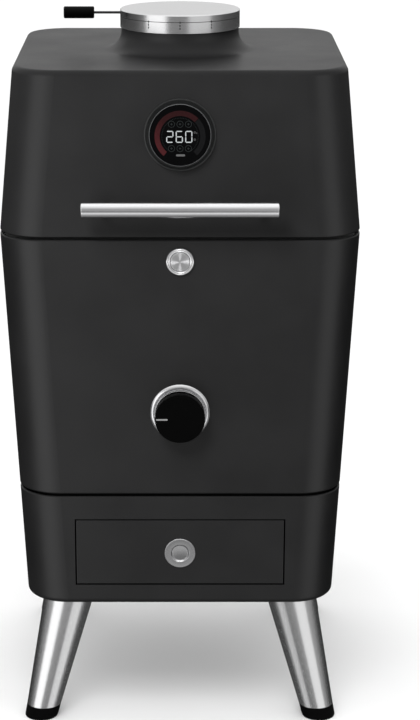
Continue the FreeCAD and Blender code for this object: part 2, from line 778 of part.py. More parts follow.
def make_dial_plate():
    """The fixed plate in the front casing: air passes its upper half, and the dial turns in its hub."""
    body = new_body("dial_plate")
    revolve(body, "plate", [
        ("shaft_radius + running_fit", "-wall"), ("intake_radius", "-wall"), ("intake_radius", "-0.6"),
        ("9", "-0.6"), ("9", "8"), ("shaft_radius + running_fit", "8")])
    window = outline_sketch(body, "window", "XY_Plane",
                            half_ring("14", "intake_radius - 3", 1))
    pocket(body, "air_window", window, both_ways=True)
    place_on_body_front(body, "dial_height")


def make_intake_shutter():
    """The disc behind the plate that turns with the dial. It covers the air window at rest."""
    body = new_body("intake_shutter")
    revolve(body, "disc", [
        ("shaft_radius", "-wall - 2.5"), ("intake_radius - 1", "-wall - 2.5"),
        ("intake_radius - 1", "-wall - 1"), ("shaft_radius", "-wall - 1")])
    window = outline_sketch(body, "window", "XY_Plane",
                            half_ring("14", "intake_radius - 3", -1))
    pocket(body, "air_window", window, both_ways=True)
    place_on_body_front(body, "dial_height")


def make_dial_shaft():
    body = new_body("dial_shaft")
    revolve(body, "shaft", [
        ("0", "-12"), ("shaft_radius + 3", "-12"), ("shaft_radius + 3", "-wall - 2.6"),
        ("shaft_radius", "-wall - 2.6"), ("shaft_radius", "shaft_length"), ("0", "shaft_length")])
    place_on_body_front(body, "dial_height")


def make_dial_bezel():
    body = new_body("dial_bezel")
    revolve(body, "ring", [
        ("intake_radius", "0"), ("dial_bezel_radius", "0"), ("dial_bezel_radius", "1.5"),
        ("dial_bezel_radius - 2.8", "4.6", "4"), ("dial_bezel_radius - 5", "4.2"),
        ("dial_bezel_radius - 5.6", "3"), ("dial_cap_radius + 0.4", "11"), ("intake_radius", "11")])
    place_on_body_front(body, "dial_height")


def make_dial_cap():
    body = new_body("dial_cap")
    back = "dial_reach - dial_cap_depth"
    revolve(body, "knob", [
        ("0", "shaft_length"), ("shaft_radius", "shaft_length"), ("shaft_radius", back),
        ("dial_hub_radius", back), ("dial_hub_radius", "dial_reach - 3"),
        ("dial_cap_radius - 3", "dial_reach - 3"), ("dial_cap_radius - 3", back),
        ("dial_cap_radius", back), ("dial_cap_radius", "dial_reach - 1.2"),
        ("dial_cap_radius - 1.2", "dial_reach"), ("0", "dial_reach")])
    groove = rectangle("2 - dial_cap_radius", "-1.15", "19 - dial_cap_radius", "1.15")
    pocket(body, "pointer_seat",
           outline_sketch(body, "seat", "XY_Plane", groove, offset="dial_reach"), "0.6")
    place_on_body_front(body, "dial_height")


def make_dial_pointer():
    body = new_body("dial_pointer")
    bar = rectangle("2 - dial_cap_radius", "-1.15", "19 - dial_cap_radius", "1.15")
    pad(body, "bar", outline_sketch(body, "shape", "XY_Plane", bar, offset="dial_reach - 0.6"), "0.75")
    place_on_body_front(body, "dial_height")


# ---------------------------------------------------------------- power button

def make_button_bezel():
    body = new_body("button_bezel")
    bore = "button_radius + 0.25"
    revolve(body, "ring", [
        (bore, "-wall - 3"), ("button_radius + 0.9", "-wall - 3"), ("button_radius + 0.9", "0"),
        ("button_bezel_radius", "0"), ("button_bezel_radius", "1.6"),
        ("button_bezel_radius - 1.6", "4.4"), (f"{bore} + 0.8", "5"), (bore, "4.4")])
    place_on_body_front(body, "button_height")


def make_button_cap():
    body = new_body("button_cap")
    revolve(body, "cap", [
        ("0", "-5"), ("button_radius - 4", "-5"), ("button_radius - 4", "-1"), ("button_radius", "-1"),
        ("button_radius", "3.6"), ("button_radius - 0.8", "4.4"), ("0", "3.9")])
    place_on_body_front(body, "button_height")


def make_button_switch():
    """The switch behind the power button, between the casing and the firebox."""
    body = new_body("button_switch")
    revolve(body, "housing", [
        ("0", "-19"), ("button_radius", "-19"), ("button_radius", "-9"), ("5", "-9"), ("5", "-8"),
        ("0", "-8")])
    terminals = outline_sketch(body, "tabs", "XY_Plane", rectangle("-9", "-1", "-4", "1"),
                               rectangle("4", "-1", "9", "1"), offset="-19")
    pad(body, "terminals", terminals, "2.5", backwards=True)
    place_on_body_front(body, "button_height")


# ---------------------------------------------------------------- lid

def make_lid_shell():
    body = new_body("lid_shell")
    ceiling = "lid_top - wall"
    tapered_block(body, "outside", lid_span, LID_BOTTOM, "lid_top")
    tapered_block(body, "inside", lid_span, LID_BOTTOM, ceiling, "wall", cut=True)
    round_edges(body, "inner_edge", level_edges(body.Shape, number(ceiling)), "lid_edge_radius - wall")
    round_edges(body, "outer_edge", level_edges(body.Shape, number("lid_top")), "lid_edge_radius")
    half_rim = number("casing_width") / 2 - number("wall") / 2
    outer_rim = [name for name in level_edges(body.Shape, number(LID_BOTTOM))
                 if is_outer(body.Shape.getElement(name), half_rim, LID_BOTTOM)]
    round_edges(body, "rim", outer_rim, "rim_radius")
    revolve(body, "neck", [
        ("neck_bore", ceiling), ("neck_radius + flare_radius", ceiling),
        ("neck_radius + flare_radius", "lid_top", "-flare_radius"),
        ("neck_radius", "lid_top + flare_radius"), ("neck_radius", "neck_top"), ("neck_bore", "neck_top")])
    bore = circle_sketch(body, "bore", "XY_Plane", ("0", "0", "neck_bore"), offset="neck_top")
    pocket(body, "chimney", bore, f"neck_top - {LID_BOTTOM}")
    front = circle_sketch(body, "display_hole", "XZ_Plane",
                          ("0", "display_height", "display_lens_radius + 1.4"))
    pocket(body, "display_cut", front, along_normal=True)


# The probe runs straight in from the display, so it meets the liner a little lower down.
PROBE_LEVEL = "(display_height - liner_inset * lid_slope)"


def make_lid_liner():
    body = new_body("lid_liner")
    tapered_block(body, "outside", lid_span, LID_LEDGE, LID_CEILING, "liner_inset")
    tapered_block(body, "flange", lid_span, LID_LEDGE, f"{LID_LEDGE} + liner_wall", "wall")
    tapered_block(body, "inside", lid_span, LID_LEDGE, f"{LID_CEILING} - liner_wall",
                  "liner_inset + liner_wall", cut=True)
    bore = circle_sketch(body, "bore", "XY_Plane", ("0", "0", "sleeve_radius"), offset="lid_top")
    pocket(body, "chimney", bore, f"lid_top - {LID_LEDGE}")
    probe = circle_sketch(body, "probe_hole", "XZ_Plane", ("0", PROBE_LEVEL, "4"))
    pocket(body, "probe_cut", probe, along_normal=True)


def make_lid_insulation():
    body = new_body("lid_insulation")
    low, high = f"{LID_LEDGE} + liner_wall", "lid_top - wall"
    tapered_block(body, "outside", lid_span, low, high, "wall + 0.5")
    tapered_block(body, "inside", lid_span, low, LID_CEILING, "liner_inset", cut=True)
    round_edges(body, "upper_edge", level_edges(body.Shape, number(high)), "lid_edge_radius - wall")
    bore = circle_sketch(body, "bore", "XY_Plane", ("0", "0", "neck_bore"), offset="lid_top")
    pocket(body, "chimney", bore, f"lid_top - {LID_LEDGE}")
    posts = [(f"{side} * handle_post_spacing / 2", "handle_height", "9") for side in SIDES]
    front = circle_sketch(body, "front_holes", "XZ_Plane",
                          ("0", "display_height", "display_lens_radius + 1.4"), *posts)
    pocket(body, "front_cut", front, along_normal=True)


def post_circles():
    return [(f"{side} * handle_post_spacing / 2", "0", "handle_post_radius") for side in SIDES]


def make_handle_bar():
    body = new_body("handle_bar")
    round_bar = circle_sketch(body, "round", "YZ_Plane", ("0", "handle_standoff", "handle_radius"))
    pad(body, "bar", round_bar, "handle_length", both_ways=True)
    ends = [f"Edge{index}" for index, edge in enumerate(body.Shape.Edges, start=1)
            if edge.BoundBox.XLength < 0.001]
    round_edges(body, "ends", ends, "1.2")
    seats = circle_sketch(body, "seats", "XY_Plane", *post_circles())
    pocket(body, "post_seats", seats, "handle_standoff - handle_radius / 2", along_normal=True)
    place_on_lid_front(body, "handle_height")


def make_handle_posts():
    body = new_body("handle_posts")
    posts = circle_sketch(body, "round", "XY_Plane", *post_circles())
    pad(body, "post", posts, "handle_standoff - handle_radius / 2")
    place_on_lid_front(body, "handle_height")


def make_display_bezel():
    body = new_body("display_bezel")
    bore = "display_lens_radius + display_rim_wall"
    revolve(body, "ring", [
        (bore, "0"), ("display_bezel_radius", "0"), ("display_bezel_radius", "1.6"),
        ("display_bezel_radius - 1", "2.6"), (f"{bore} + 1", "display_rise"), (bore, "display_rise")])
    place_on_lid_front(body, "display_height")


def make_display_rim():
    body = new_body("display_rim")
    revolve(body, "ring", [
        ("display_lens_radius", "-1"), ("display_lens_radius + display_rim_wall", "-1"),
        ("display_lens_radius + display_rim_wall", "display_rise + 0.4"),
        ("display_lens_radius + 0.5", "display_rise + 0.9"), ("display_lens_radius", "display_rise + 0.4")])
    place_on_lid_front(body, "display_height")


def make_display_lens():
    body = new_body("display_lens")
    revolve(body, "glass", [
        ("0", LENS_BACK), ("display_lens_radius", LENS_BACK),
        ("display_lens_radius", "display_rise - 1"), ("display_lens_radius - 0.8", "display_rise - 0.4"),
        ("0", "display_rise - 0.4")])
    place_on_lid_front(body, "display_height")


def make_display_module():
    """The sealed housing of the display's circuit board, sunk in the lid's insulation."""
    body = new_body("display_module")
    revolve(body, "housing", [
        ("0", "-16"), ("display_lens_radius - 5", "-16"), ("display_lens_radius - 2", "-13"),
        ("display_lens_radius - 2", LENS_BACK), ("0", LENS_BACK)])
    place_on_lid_front(body, "display_height")


def make_temperature_probe():
    body = new_body("temperature_probe")
    revolve(body, "probe", [
        ("0", "-62"), ("1.2", "-62"), ("2.5", "-58"), ("2.5", "-21"),
        ("6", "-21"), ("6", "-16"), ("0", "-16")])
    place_on_lid_front(body, "display_height")


# ---------------------------------------------------------------- top vent

def make_vent_sleeve():
    """The fixed tube inside the rotating cap, with two smoke windows at the back."""
    body = new_body("vent_sleeve")
    bore = "sleeve_radius - 2"
    revolve(body, "tube", [
        (bore, f"{LID_CEILING} - 8"), ("sleeve_radius", f"{LID_CEILING} - 8"),
        ("sleeve_radius", "vent_cap_top - 5"), (bore, "vent_cap_top - 5")])
    smoke_windows(body, "sleeve_radius - 4", "sleeve_radius + 2", ("0", "2 * vent_step"))


def smoke_windows(body, inner, outer, turns):
    """Windows through an upright wall at the back, each turned from straight back."""
    for index, turn in enumerate(turns):
        revolve(body, f"window{index}", rectangle(inner, "neck_top + 4", outer, "vent_cap_top - 8"),
                cut=True, angle="vent_step - 3", turn=f"{turn} + 90")


def make_vent_bridge():
    """The bar across the sleeve that carries the cap's pivot."""
    body = new_body("vent_bridge")
    half = "sleeve_radius - 2.5"
    bar = rectangle(f"-({half})", "-8", half, "8")
    sketch = outline_sketch(body, "bar_outline", "XY_Plane", bar, offset="neck_top + bridge_rise")
    pad(body, "bar", sketch, "3")
    post = circle_sketch(body, "post", "XY_Plane", ("0", "0", "pivot_radius"),
                         offset="neck_top + bridge_rise")
    pad(body, "pivot", post, "vent_cap_top - 6 - (neck_top + bridge_rise)")


def make_vent_cap():
    body = new_body("vent_cap")
    inner = "vent_cap_radius - vent_wall"
    revolve(body, "cap", [
        (inner, "vent_cap_bottom"), ("vent_cap_radius", "vent_cap_bottom"),
        ("vent_cap_radius", "vent_cap_top - 1.2"), ("vent_cap_radius - 1.2", "vent_cap_top"),
        ("0", "vent_cap_top"), ("0", "vent_cap_top - vent_deck"),
        ("pivot_radius + running_fit", "vent_cap_top - vent_deck"),
        ("pivot_radius + running_fit", "vent_cap_top - 12"), ("10", "vent_cap_top - 12"),
        ("10", "vent_cap_top - vent_deck"), (inner, "vent_cap_top - vent_deck")])
    smoke_windows(body, f"{inner} - 1", "vent_cap_radius + 2", ("-vent_step", "vent_step"))
    line = "vent_cap_bottom + 0.57 * (vent_cap_top - vent_cap_bottom)"
    engrave(body, "scale_line", f"{line} - 0.3", f"{line} + 0.3", "2 * vent_step", "0")
    for index, turn in enumerate(("-vent_step", "0", "vent_step")):
        engrave(body, f"tick{index}", f"{line} - 6.5", f"{line} - 0.3", "0.6", turn)
        engrave(body, f"dot{index}", f"{line} - 9.5", f"{line} - 8.3", "0.7", turn)
    lever = circle_sketch(body, "lever_hole", "YZ_Plane", ("0", "lever_height", "lever_radius"),
                          offset="-vent_cap_radius - 1")
    pocket(body, "lever_seat", lever, "vent_wall + 3", along_normal=True)


def engrave(body, name, low, high, sweep, turn):
    """A shallow cut in the cap's wall, centred on a direction turned from the front."""
    mark = rectangle("vent_cap_radius - 0.35", low, "vent_cap_radius + 1", high)
    revolve(body, name, mark, cut=True, angle=sweep, turn=f"{turn} - 90")


def make_vent_lever():
    body = new_body("vent_lever")
    rod = circle_sketch(body, "round", "YZ_Plane", ("0", "lever_height", "lever_radius"),
                        offset="1.5 - vent_cap_radius")
    pad(body, "rod", rod, "lever_end - 10 - (vent_cap_radius - 1.5)", backwards=True)


def make_vent_grip():
    body = new_body("vent_grip")
    start = "grip_length - lever_end"
    round_grip = circle_sketch(body, "round", "YZ_Plane",
                               ("0", "lever_height", "grip_radius"), offset=start)
    pad(body, "grip", round_grip, "grip_length", backwards=True)
    ends = [f"Edge{index}" for index, edge in enumerate(body.Shape.Edges, start=1)
            if edge.BoundBox.XLength < 0.001]
    round_edges(body, "ends", ends, "1.6")
    bore = circle_sketch(body, "bore", "YZ_Plane", ("0", "lever_height", "lever_radius"), offset=start)
    pocket(body, "rod_bore", bore, "grip_length - 10")


# ---------------------------------------------------------------- ash drawer

def make_drawer_front():
    """A folded steel front that stands flush in the base's opening."""
    body = new_body("drawer_front")
    middle = "(drawer_bottom + drawer_top) / 2"
    half_x, half_y = "drawer_width / 2", "(drawer_top - drawer_bottom) / 2"
    panel = outline_sketch(body, "panel", "XY_Plane",
                           rectangle(f"-{half_x}", f"-{half_y}", half_x, half_y), offset="-14")
    pad(body, "block", panel, "14")
    front = [f"Edge{index}" for index, edge in enumerate(body.Shape.Edges, start=1)
             if edge.BoundBox.ZMin > -0.001]
    round_edges(body, "front_edges", front, "1")
    hollow = outline_sketch(body, "hollow", "XY_Plane",
                            rectangle(f"2 - {half_x}", f"2 - {half_y}", f"{half_x} - 2", f"{half_y} - 2"),
                            offset="-14")
    pocket(body, "inside", hollow, "12", along_normal=True)
    cup = circle_sketch(body, "cup_hole", "XY_Plane",
                        ("0", f"pull_height - {middle}", "pull_cup_radius + 1.6"))
    pocket(body, "cup_cut", cup)
    place_on_body_front(body, middle)


def make_drawer_pull():
    """A round finger cup pressed into a flange."""
    body = new_body("drawer_pull")
    depth = "10"
    bowl = f"(pull_cup_radius * pull_cup_radius + {depth} * {depth}) / (2 * {depth})"
    revolve(body, "cup", [
        ("0", f"0.8 - {depth} - 1.2", f"{bowl} + 1.2"), ("pull_cup_radius + 1.1", "0"),
        ("pull_radius", "0"), ("pull_radius", "1"), ("pull_radius - 0.8", "1.8"),
        ("pull_cup_radius + 1", "1.8"), ("pull_cup_radius", "0.8", f"-({bowl})"),
        ("0", f"0.8 - {depth}")])
    place_on_body_front(body, "pull_height")


TRAY_FRONT = f"({body_front('drawer_bottom')} - 18)"


def make_drawer_tray():
    body = new_body("drawer_tray")
    floor, rim, runner = "drawer_bottom + 4", "drawer_top - 14", "drawer_bottom + 16"
    front, back = f"-{TRAY_FRONT}", f"tray_length - {TRAY_FRONT}"
    half = "tray_half_width"
    box = rectangle(f"-{half}", front, half, back)
    pad(body, "block", outline_sketch(body, "box", "XY_Plane", box, offset=floor), f"{rim} - ({floor})")
    runners = rectangle("-runner_half_width", front, "runner_half_width", back)
    pad(body, "runner", outline_sketch(body, "runners", "XY_Plane", runners, offset=runner), "2")
    hollow = rectangle(f"1.5 - {half}", f"{front} + 1.5", f"{half} - 1.5", f"{back} - 1.5")
    pocket(body, "inside", outline_sketch(body, "hollow", "XY_Plane", hollow, offset=rim),
           f"{rim} - ({floor}) - 1.5")
    tab_back = f"2 - {body_front('drawer_bottom')}"
    tabs = outline_sketch(body, "tabs", "XY_Plane",
                          rectangle("-120", tab_back, "-90", f"{front} + 1"),
                          rectangle("90", tab_back, "120", f"{front} + 1"), offset=floor)
    pad(body, "front_tabs", tabs, "2")


def make_ash_pan():
    """The lift-out pan that stands in the drawer and catches the ash."""
    body = new_body("ash_pan")
    bottom = "drawer_bottom + 5.5"
    high = "drawer_bottom + 70"
    width, length = "2 * (tray_half_width - 6)", "tray_length - 16"
    middle = f"(tray_length / 2 - {TRAY_FRONT})"
    block = section(body, "box", bottom, width, length, "15", middle)
    pad(body, "block", block, f"{high} - ({bottom})")
    hollow = section(body, "hollow", high, f"{width} - 2.4", f"{length} - 2.4", "13.8", middle)
    pocket(body, "inside", hollow, f"{high} - ({bottom}) - 1.2")


def make_drawer_rails():
    """A folded rail on the base's floor at each side of the drawer."""
    body = new_body("drawer_rails")
    floor, shelf, guide = "base_bottom + wall", "drawer_bottom + 15.7", "drawer_bottom + 27"
    inner, web = "tray_half_width + 1", "runner_half_width + 0.7"
    rail = [(inner, floor), (f"{web} + 6", floor), (f"{web} + 6", f"{floor} + 2"),
            (f"{web} + 2", f"{floor} + 2"), (f"{web} + 2", guide), (web, guide), (web, shelf),
            (inner, shelf), (inner, f"{shelf} - 2"), (web, f"{shelf} - 2"), (web, f"{floor} + 2"),
            (inner, f"{floor} + 2")]
    mirrored = [(f"-({x})", height) for x, height in rail]
    start = f"{body_front('drawer_bottom')} - 24"
    sketch = outline_sketch(body, "rails", "XZ_Plane", rail, mirrored, offset=start)
    pad(body, "rail", sketch, "tray_length + 10", backwards=True)


# ---------------------------------------------------------------- lid hinge

HINGE_Y = "(casing_depth / 2 + hinge_reach)"


def make_hinge_leaves(label, knuckle_low, knuckle_length, span, low, high, arm_low, arm_high):
    """Two leaves of one side of the hinge, each a plate, an arm and its knuckles."""
    body = new_body(label)
    half_plate = "32"

    def face(height):
        return f"({span('casing_depth', height)} / 2)"

    plate = [(face(low), low), (f"{face(low)} + hinge_plate", low),
             (f"{face(high)} + hinge_plate", high), (face(high), high)]
    arm = [(f"{face(arm_low)} + 1", arm_low), (HINGE_Y, arm_low), (HINGE_Y, arm_high),
           (f"{face(arm_high)} + 1", arm_high)]
    for side in SIDES:
        centre = f"{side} * hinge_spacing / 2"
        sketch = outline_sketch(body, f"plate_{side + 1}", "YZ_Plane", plate,
                                offset=f"{centre} - {half_plate}")
        pad(body, f"leaf_{side + 1}", sketch, f"2 * {half_plate}")
        for index, start in enumerate(knuckle_low):
            offset = f"{centre} + ({start})"
            ring = circle_sketch(body, f"ring_{side + 1}_{index}", "YZ_Plane",
                                 (HINGE_Y, "lid_seam_height", "knuckle_radius"), offset=offset)
            pad(body, f"knuckle_{side + 1}_{index}", ring, knuckle_length)
            link = outline_sketch(body, f"arm_{side + 1}_{index}", "YZ_Plane", arm, offset=offset)
            pad(body, f"link_{side + 1}_{index}", link, knuckle_length)
    bore = circle_sketch(body, "bore", "YZ_Plane",
                         (HINGE_Y, "lid_seam_height", "pin_radius + running_fit"))
    pocket(body, "pin_bore", bore, "2 * casing_width", both_ways=True)


def make_hinge_pins():
    body = new_body("hinge_pins")
    for side in SIDES:
        rod = circle_sketch(body, f"rod_{side + 1}", "YZ_Plane", (HINGE_Y, "lid_seam_height", "pin_radius"),
                            offset=f"{side} * hinge_spacing / 2 - 33")
        pad(body, f"pin_{side + 1}", rod, "66")
        head = circle_sketch(body, f"head_{side + 1}", "YZ_Plane",
                             (HINGE_Y, "lid_seam_height", "pin_radius + 2"),
                             offset=f"{side} * hinge_spacing / 2 - 35")
        pad(body, f"head_pad_{side + 1}", head, "2")


# ---------------------------------------------------------------- control box

BOX_BACK = f"({REACH} - inlet_proud)"
INLET_X, INLET_Z = "60", "box_low + 34"
INLET_HALF_WIDTH, INLET_HALF_HEIGHT = "14", "11"


def make_rear_cover():
    body = new_body("rear_cover")

    def trapezoid(inset):
        low, high = f"box_low + {inset}", f"box_high - {inset}"
        return [(f"{body_front(low)} + 0.1", low), (f"{BOX_BACK} - {inset}", low),
                (f"{BOX_BACK} - {inset}", high), (f"{body_front(high)} + 0.1", high)]

    side = outline_sketch(body, "side", "YZ_Plane", trapezoid("0"))
    pad(body, "block", side, "box_width", both_ways=True)
    back_edges = [f"Edge{index}" for index, edge in enumerate(body.Shape.Edges, start=1)
                  if edge.BoundBox.YMin > number(BOX_BACK) - 0.001]
    round_edges(body, "back_edges", back_edges, "6")
    inner = trapezoid("2")
    inner[0] = (f"{body_front('box_low')} - 20", "box_low + 2")
    inner[3] = (f"{body_front('box_high')} - 20", "box_high - 2")
    hollow = outline_sketch(body, "hollow", "YZ_Plane", inner)
    pocket(body, "inside", hollow, "box_width - 4", both_ways=True)
    hole = rectangle(f"{INLET_X} - {INLET_HALF_WIDTH}", f"{INLET_Z} - {INLET_HALF_HEIGHT}",
                     f"{INLET_X} + {INLET_HALF_WIDTH}", f"{INLET_Z} + {INLET_HALF_HEIGHT}")
    pocket(body, "inlet_cut", outline_sketch(body, "inlet_hole", "XZ_Plane", hole))
    screws = circle_sketch(body, "screw_holes", "XZ_Plane", *[(x, z, "2.2") for x, z in cover_screws()])
    pocket(body, "screw_cut", screws)
    slit = rectangle("-70", "box_high - 30", "-66", "box_high - 60")
    slot = outline_sketch(body, "slot", "XZ_Plane", slit)
    first = pocket(body, "vent_slot", slot)
    pattern(body, "vent_slots", first, "H_Axis", "132", 12)


def cover_screws():
    x, low, high = "(box_width / 2 - 12)", "box_low + 12", "box_high - 12"
    return [(f"-{x}", low), (x, low), (x, high), (f"-{x}", high)]


def make_control_board():
    """The ignition and thermostat board, on four posts inside the cover."""
    body = new_body("control_board")
    post_end = f"{BOX_BACK} - 2"
    posts = [(x, z, "3") for x in ("-60", "60") for z in ("box_low + 85", "box_low + 165")]
    pad(body, "posts", circle_sketch(body, "post", "XZ_Plane", *posts, offset=f"-({post_end})"), "12")
    plate = rectangle("-70", "box_low + 75", "70", "box_low + 175")
    board = outline_sketch(body, "plate", "XZ_Plane", plate, offset=f"12 - ({post_end})")
    pad(body, "board", board, "1.6")
    front = f"13.6 - ({post_end})"
    relay = rectangle("-50", "box_low + 95", "-28", "box_low + 125")
    transformer = rectangle("5", "box_low + 92", "45", "box_low + 128")
    blocks = outline_sketch(body, "blocks", "XZ_Plane", relay, transformer, offset=front)
    pad(body, "components", blocks, "16")
    cans = circle_sketch(body, "cans", "XZ_Plane", ("-35", "box_low + 150", "6"),
                         ("-10", "box_low + 150", "6"), ("30", "box_low + 152", "8"), offset=front)
    pad(body, "capacitors", cans, "18")


def make_power_inlet():
    """A three-pin appliance inlet, the only trace of the supply lead."""
    body = new_body("power_inlet")
    half_x, half_z = f"({INLET_HALF_WIDTH} - 0.3)", f"({INLET_HALF_HEIGHT} - 0.3)"

    def around(grow_x, grow_z):
        return rectangle(f"{INLET_X} - {half_x} - ({grow_x})", f"{INLET_Z} - {half_z} - ({grow_z})",
                         f"{INLET_X} + {half_x} + ({grow_x})", f"{INLET_Z} + {half_z} + ({grow_z})")

    flange = outline_sketch(body, "flange", "XZ_Plane", around("11", "4"), offset=f"-{BOX_BACK}")
    pad(body, "plate", flange, "inlet_proud", backwards=True)
    housing = outline_sketch(body, "housing", "XZ_Plane", around("0", "0"), offset=f"-{BOX_BACK}")
    pad(body, "well", housing, "22")
    mouth = outline_sketch(body, "mouth", "XZ_Plane", around("-1.5", "-2"),
                           offset=f"-{BOX_BACK} - inlet_proud")
    pocket(body, "recess", mouth, "inlet_proud + 18", along_normal=True)
    blades = [rectangle(f"{INLET_X} + {x} - 1", f"{INLET_Z} + {z} - 2", f"{INLET_X} + {x} + 1",
                        f"{INLET_Z} + {z} + 2") for x, z in (("-7", "-1"), ("0", "2"), ("7", "-1"))]
    pins = outline_sketch(body, "pins", "XZ_Plane", *blades, offset=f"-{BOX_BACK} + 18.5")
    pad(body, "blades", pins, "14", backwards=True)


# ---------------------------------------------------------------- fasteners

def make_cabinet_fasteners():
    """The leg bolts, the rear cover's screws and the screws of the hinge's lower leaves."""
    body = new_body("cabinet_fasteners")
    add_leg_bolts(body)
    heads = circle_sketch(body, "heads", "XZ_Plane", *[(x, z, "4") for x, z in cover_screws()],
                          offset=f"-{BOX_BACK}")
    pad(body, "cover_heads", heads, "2", backwards=True)
    shanks = circle_sketch(body, "shanks", "XZ_Plane", *[(x, z, "2") for x, z in cover_screws()],
                           offset=f"-{BOX_BACK}")
    pad(body, "cover_shanks", shanks, f"{BOX_BACK} - {body_front('box_high')} - 1")
    height = "lid_seam_height - 45"
    face = f"{body_front(height)} + hinge_plate + 0.5"
    screws = circle_sketch(body, "hinge", "XZ_Plane", *[(x, height, "4.5") for x in hinge_screw_places()],
                           offset=f"-({face})")
    pad(body, "hinge_heads", screws, "2.5", backwards=True)


def hinge_screw_places():
    return [f"{side} * hinge_spacing / 2 + {step}" for side in SIDES for step in ("-20", "20")]


def make_lid_fasteners():
    """Screws of the hinge's upper leaves and, inside the lid, of the handle posts."""
    body = new_body("lid_fasteners")
    height = "lid_seam_height + 45"
    face = f"{lid_front(height)} + hinge_plate + 0.5"
    screws = circle_sketch(body, "hinge", "XZ_Plane", *[(x, height, "4.5") for x in hinge_screw_places()],
                           offset=f"-({face})")
    pad(body, "hinge_heads", screws, "2.5", backwards=True)
    inside = f"{lid_front('handle_height')} - wall - 0.6"
    posts = [(f"{side} * handle_post_spacing / 2", "handle_height", "7") for side in SIDES]
    handle = circle_sketch(body, "handle", "XZ_Plane", *posts, offset=inside)
    pad(body, "handle_heads", handle, "4", backwards=True)


# ---------------------------------------------------------------- build

def make_all():
    fill_sheet()
    make_base_shell()
    make_seam_spacer()
    make_body_shell()
    make_firebox_liner()
    make_body_insulation()
    make_body_gasket()
    for corner in CORNERS:
        make_leg(corner)
        make_foot(corner)
    make_ash_chute()
    make_charcoal_basket()
    make_heating_element()
    make_element_flange()
    make_drip_pan()
    make_grill_supports()
    make_grill("cooking_grill", "lower_grill_height", "400", "200", 24)
    make_grill("warming_grill", "upper_grill_height", "210", "200", 24)
    make_intake_duct()
    make_dial_plate()
    make_intake_shutter()
    make_dial_shaft()
    make_dial_bezel()
    make_dial_cap()
    make_dial_pointer()
    make_button_bezel()
    make_button_cap()
    make_button_switch()
    make_lid_shell()
    make_lid_liner()
    make_lid_insulation()
    make_handle_bar()
    make_handle_posts()
    make_display_bezel()
    make_display_rim()
    make_display_lens()
    make_display_module()
    make_temperature_probe()
    make_vent_sleeve()
    make_vent_bridge()
    make_vent_cap()
    make_vent_lever()
    make_vent_grip()
    make_drawer_front()
    make_drawer_pull()
    make_drawer_tray()
    make_ash_pan()
    make_drawer_rails()
    make_hinge_leaves("hinge_brackets", ("-30", "16"), "14", body_span,
                      "lid_seam_height - 60", "lid_seam_height - 8",
                      "lid_seam_height - 16", "lid_seam_height - 4")
    make_hinge_leaves("hinge_leaves", ("-15",), "30", lid_span,
                      "lid_seam_height + 8", "lid_seam_height + 60",
                      "lid_seam_height + 4", "lid_seam_height + 16")
    make_hinge_pins()
    make_rear_cover()
    make_control_board()
    make_power_inlet()
    make_cabinet_fasteners()
    make_lid_fasteners()


def check_and_export():
    document.recompute()
    for item in document.Objects:
        if "Invalid" in item.State or "Error" in item.State:
            raise RuntimeError(f"{item.Label} failed: {item.State}")
    os.makedirs("parts", exist_ok=True)
    for body in pieces:
        if body.Shape.isNull() or not body.Shape.isValid():
            raise RuntimeError(f"{body.Label} has no valid shape")
    for body in pieces:
        body.Shape.exportStep(f"parts/{body.Label}.step")
    print(f"{len(pieces)} pieces written")


make_all()
check_and_export()
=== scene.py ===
"""Looks for the cabinet smoker: materials, the display's graphics, small details and the studio."""
import json
import math

import bmesh
import bpy
from mathutils import Matrix, Vector

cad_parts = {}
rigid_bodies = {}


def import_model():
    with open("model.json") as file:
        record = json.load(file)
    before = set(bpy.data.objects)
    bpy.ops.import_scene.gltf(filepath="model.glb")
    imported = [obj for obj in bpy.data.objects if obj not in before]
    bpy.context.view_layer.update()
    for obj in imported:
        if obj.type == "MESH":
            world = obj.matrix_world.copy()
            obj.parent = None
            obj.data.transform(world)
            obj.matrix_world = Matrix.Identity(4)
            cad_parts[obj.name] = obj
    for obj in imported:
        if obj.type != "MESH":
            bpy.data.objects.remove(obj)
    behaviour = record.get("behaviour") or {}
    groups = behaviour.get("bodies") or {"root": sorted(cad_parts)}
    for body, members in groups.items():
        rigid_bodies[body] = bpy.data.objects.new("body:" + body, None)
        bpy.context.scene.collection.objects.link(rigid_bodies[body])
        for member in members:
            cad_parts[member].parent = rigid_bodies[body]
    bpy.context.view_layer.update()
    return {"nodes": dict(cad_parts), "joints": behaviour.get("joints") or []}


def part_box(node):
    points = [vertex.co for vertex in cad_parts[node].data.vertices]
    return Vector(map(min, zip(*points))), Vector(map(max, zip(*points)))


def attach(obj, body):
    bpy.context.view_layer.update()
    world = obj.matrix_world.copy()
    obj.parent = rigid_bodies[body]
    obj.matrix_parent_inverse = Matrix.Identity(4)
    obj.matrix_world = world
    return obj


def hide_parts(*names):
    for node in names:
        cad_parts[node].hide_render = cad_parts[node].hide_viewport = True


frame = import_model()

nodes = frame["nodes"]
MM = 0.001
LID_TILT = math.atan(0.0868)


# ---------------------------------------------------------------- material helpers

def new_material(name, colour, roughness, metallic=0.0, **sockets):
    """A Principled material. Sockets are given by name, with _ for a space."""
    material = bpy.data.materials.new(name)
    material.use_nodes = True
    shader = material.node_tree.nodes["Principled BSDF"]
    shader.inputs["Base Color"].default_value = (*colour, 1)
    shader.inputs["Roughness"].default_value = roughness
    shader.inputs["Metallic"].default_value = metallic
    for socket, value in sockets.items():
        shader.inputs[socket.replace("_", " ")].default_value = value
    return material


def drive(material, socket, output):
    """Lets a node's output set one of the shader's sockets."""
    shader = material.node_tree.nodes["Principled BSDF"]
    material.node_tree.links.new(output, shader.inputs[socket])


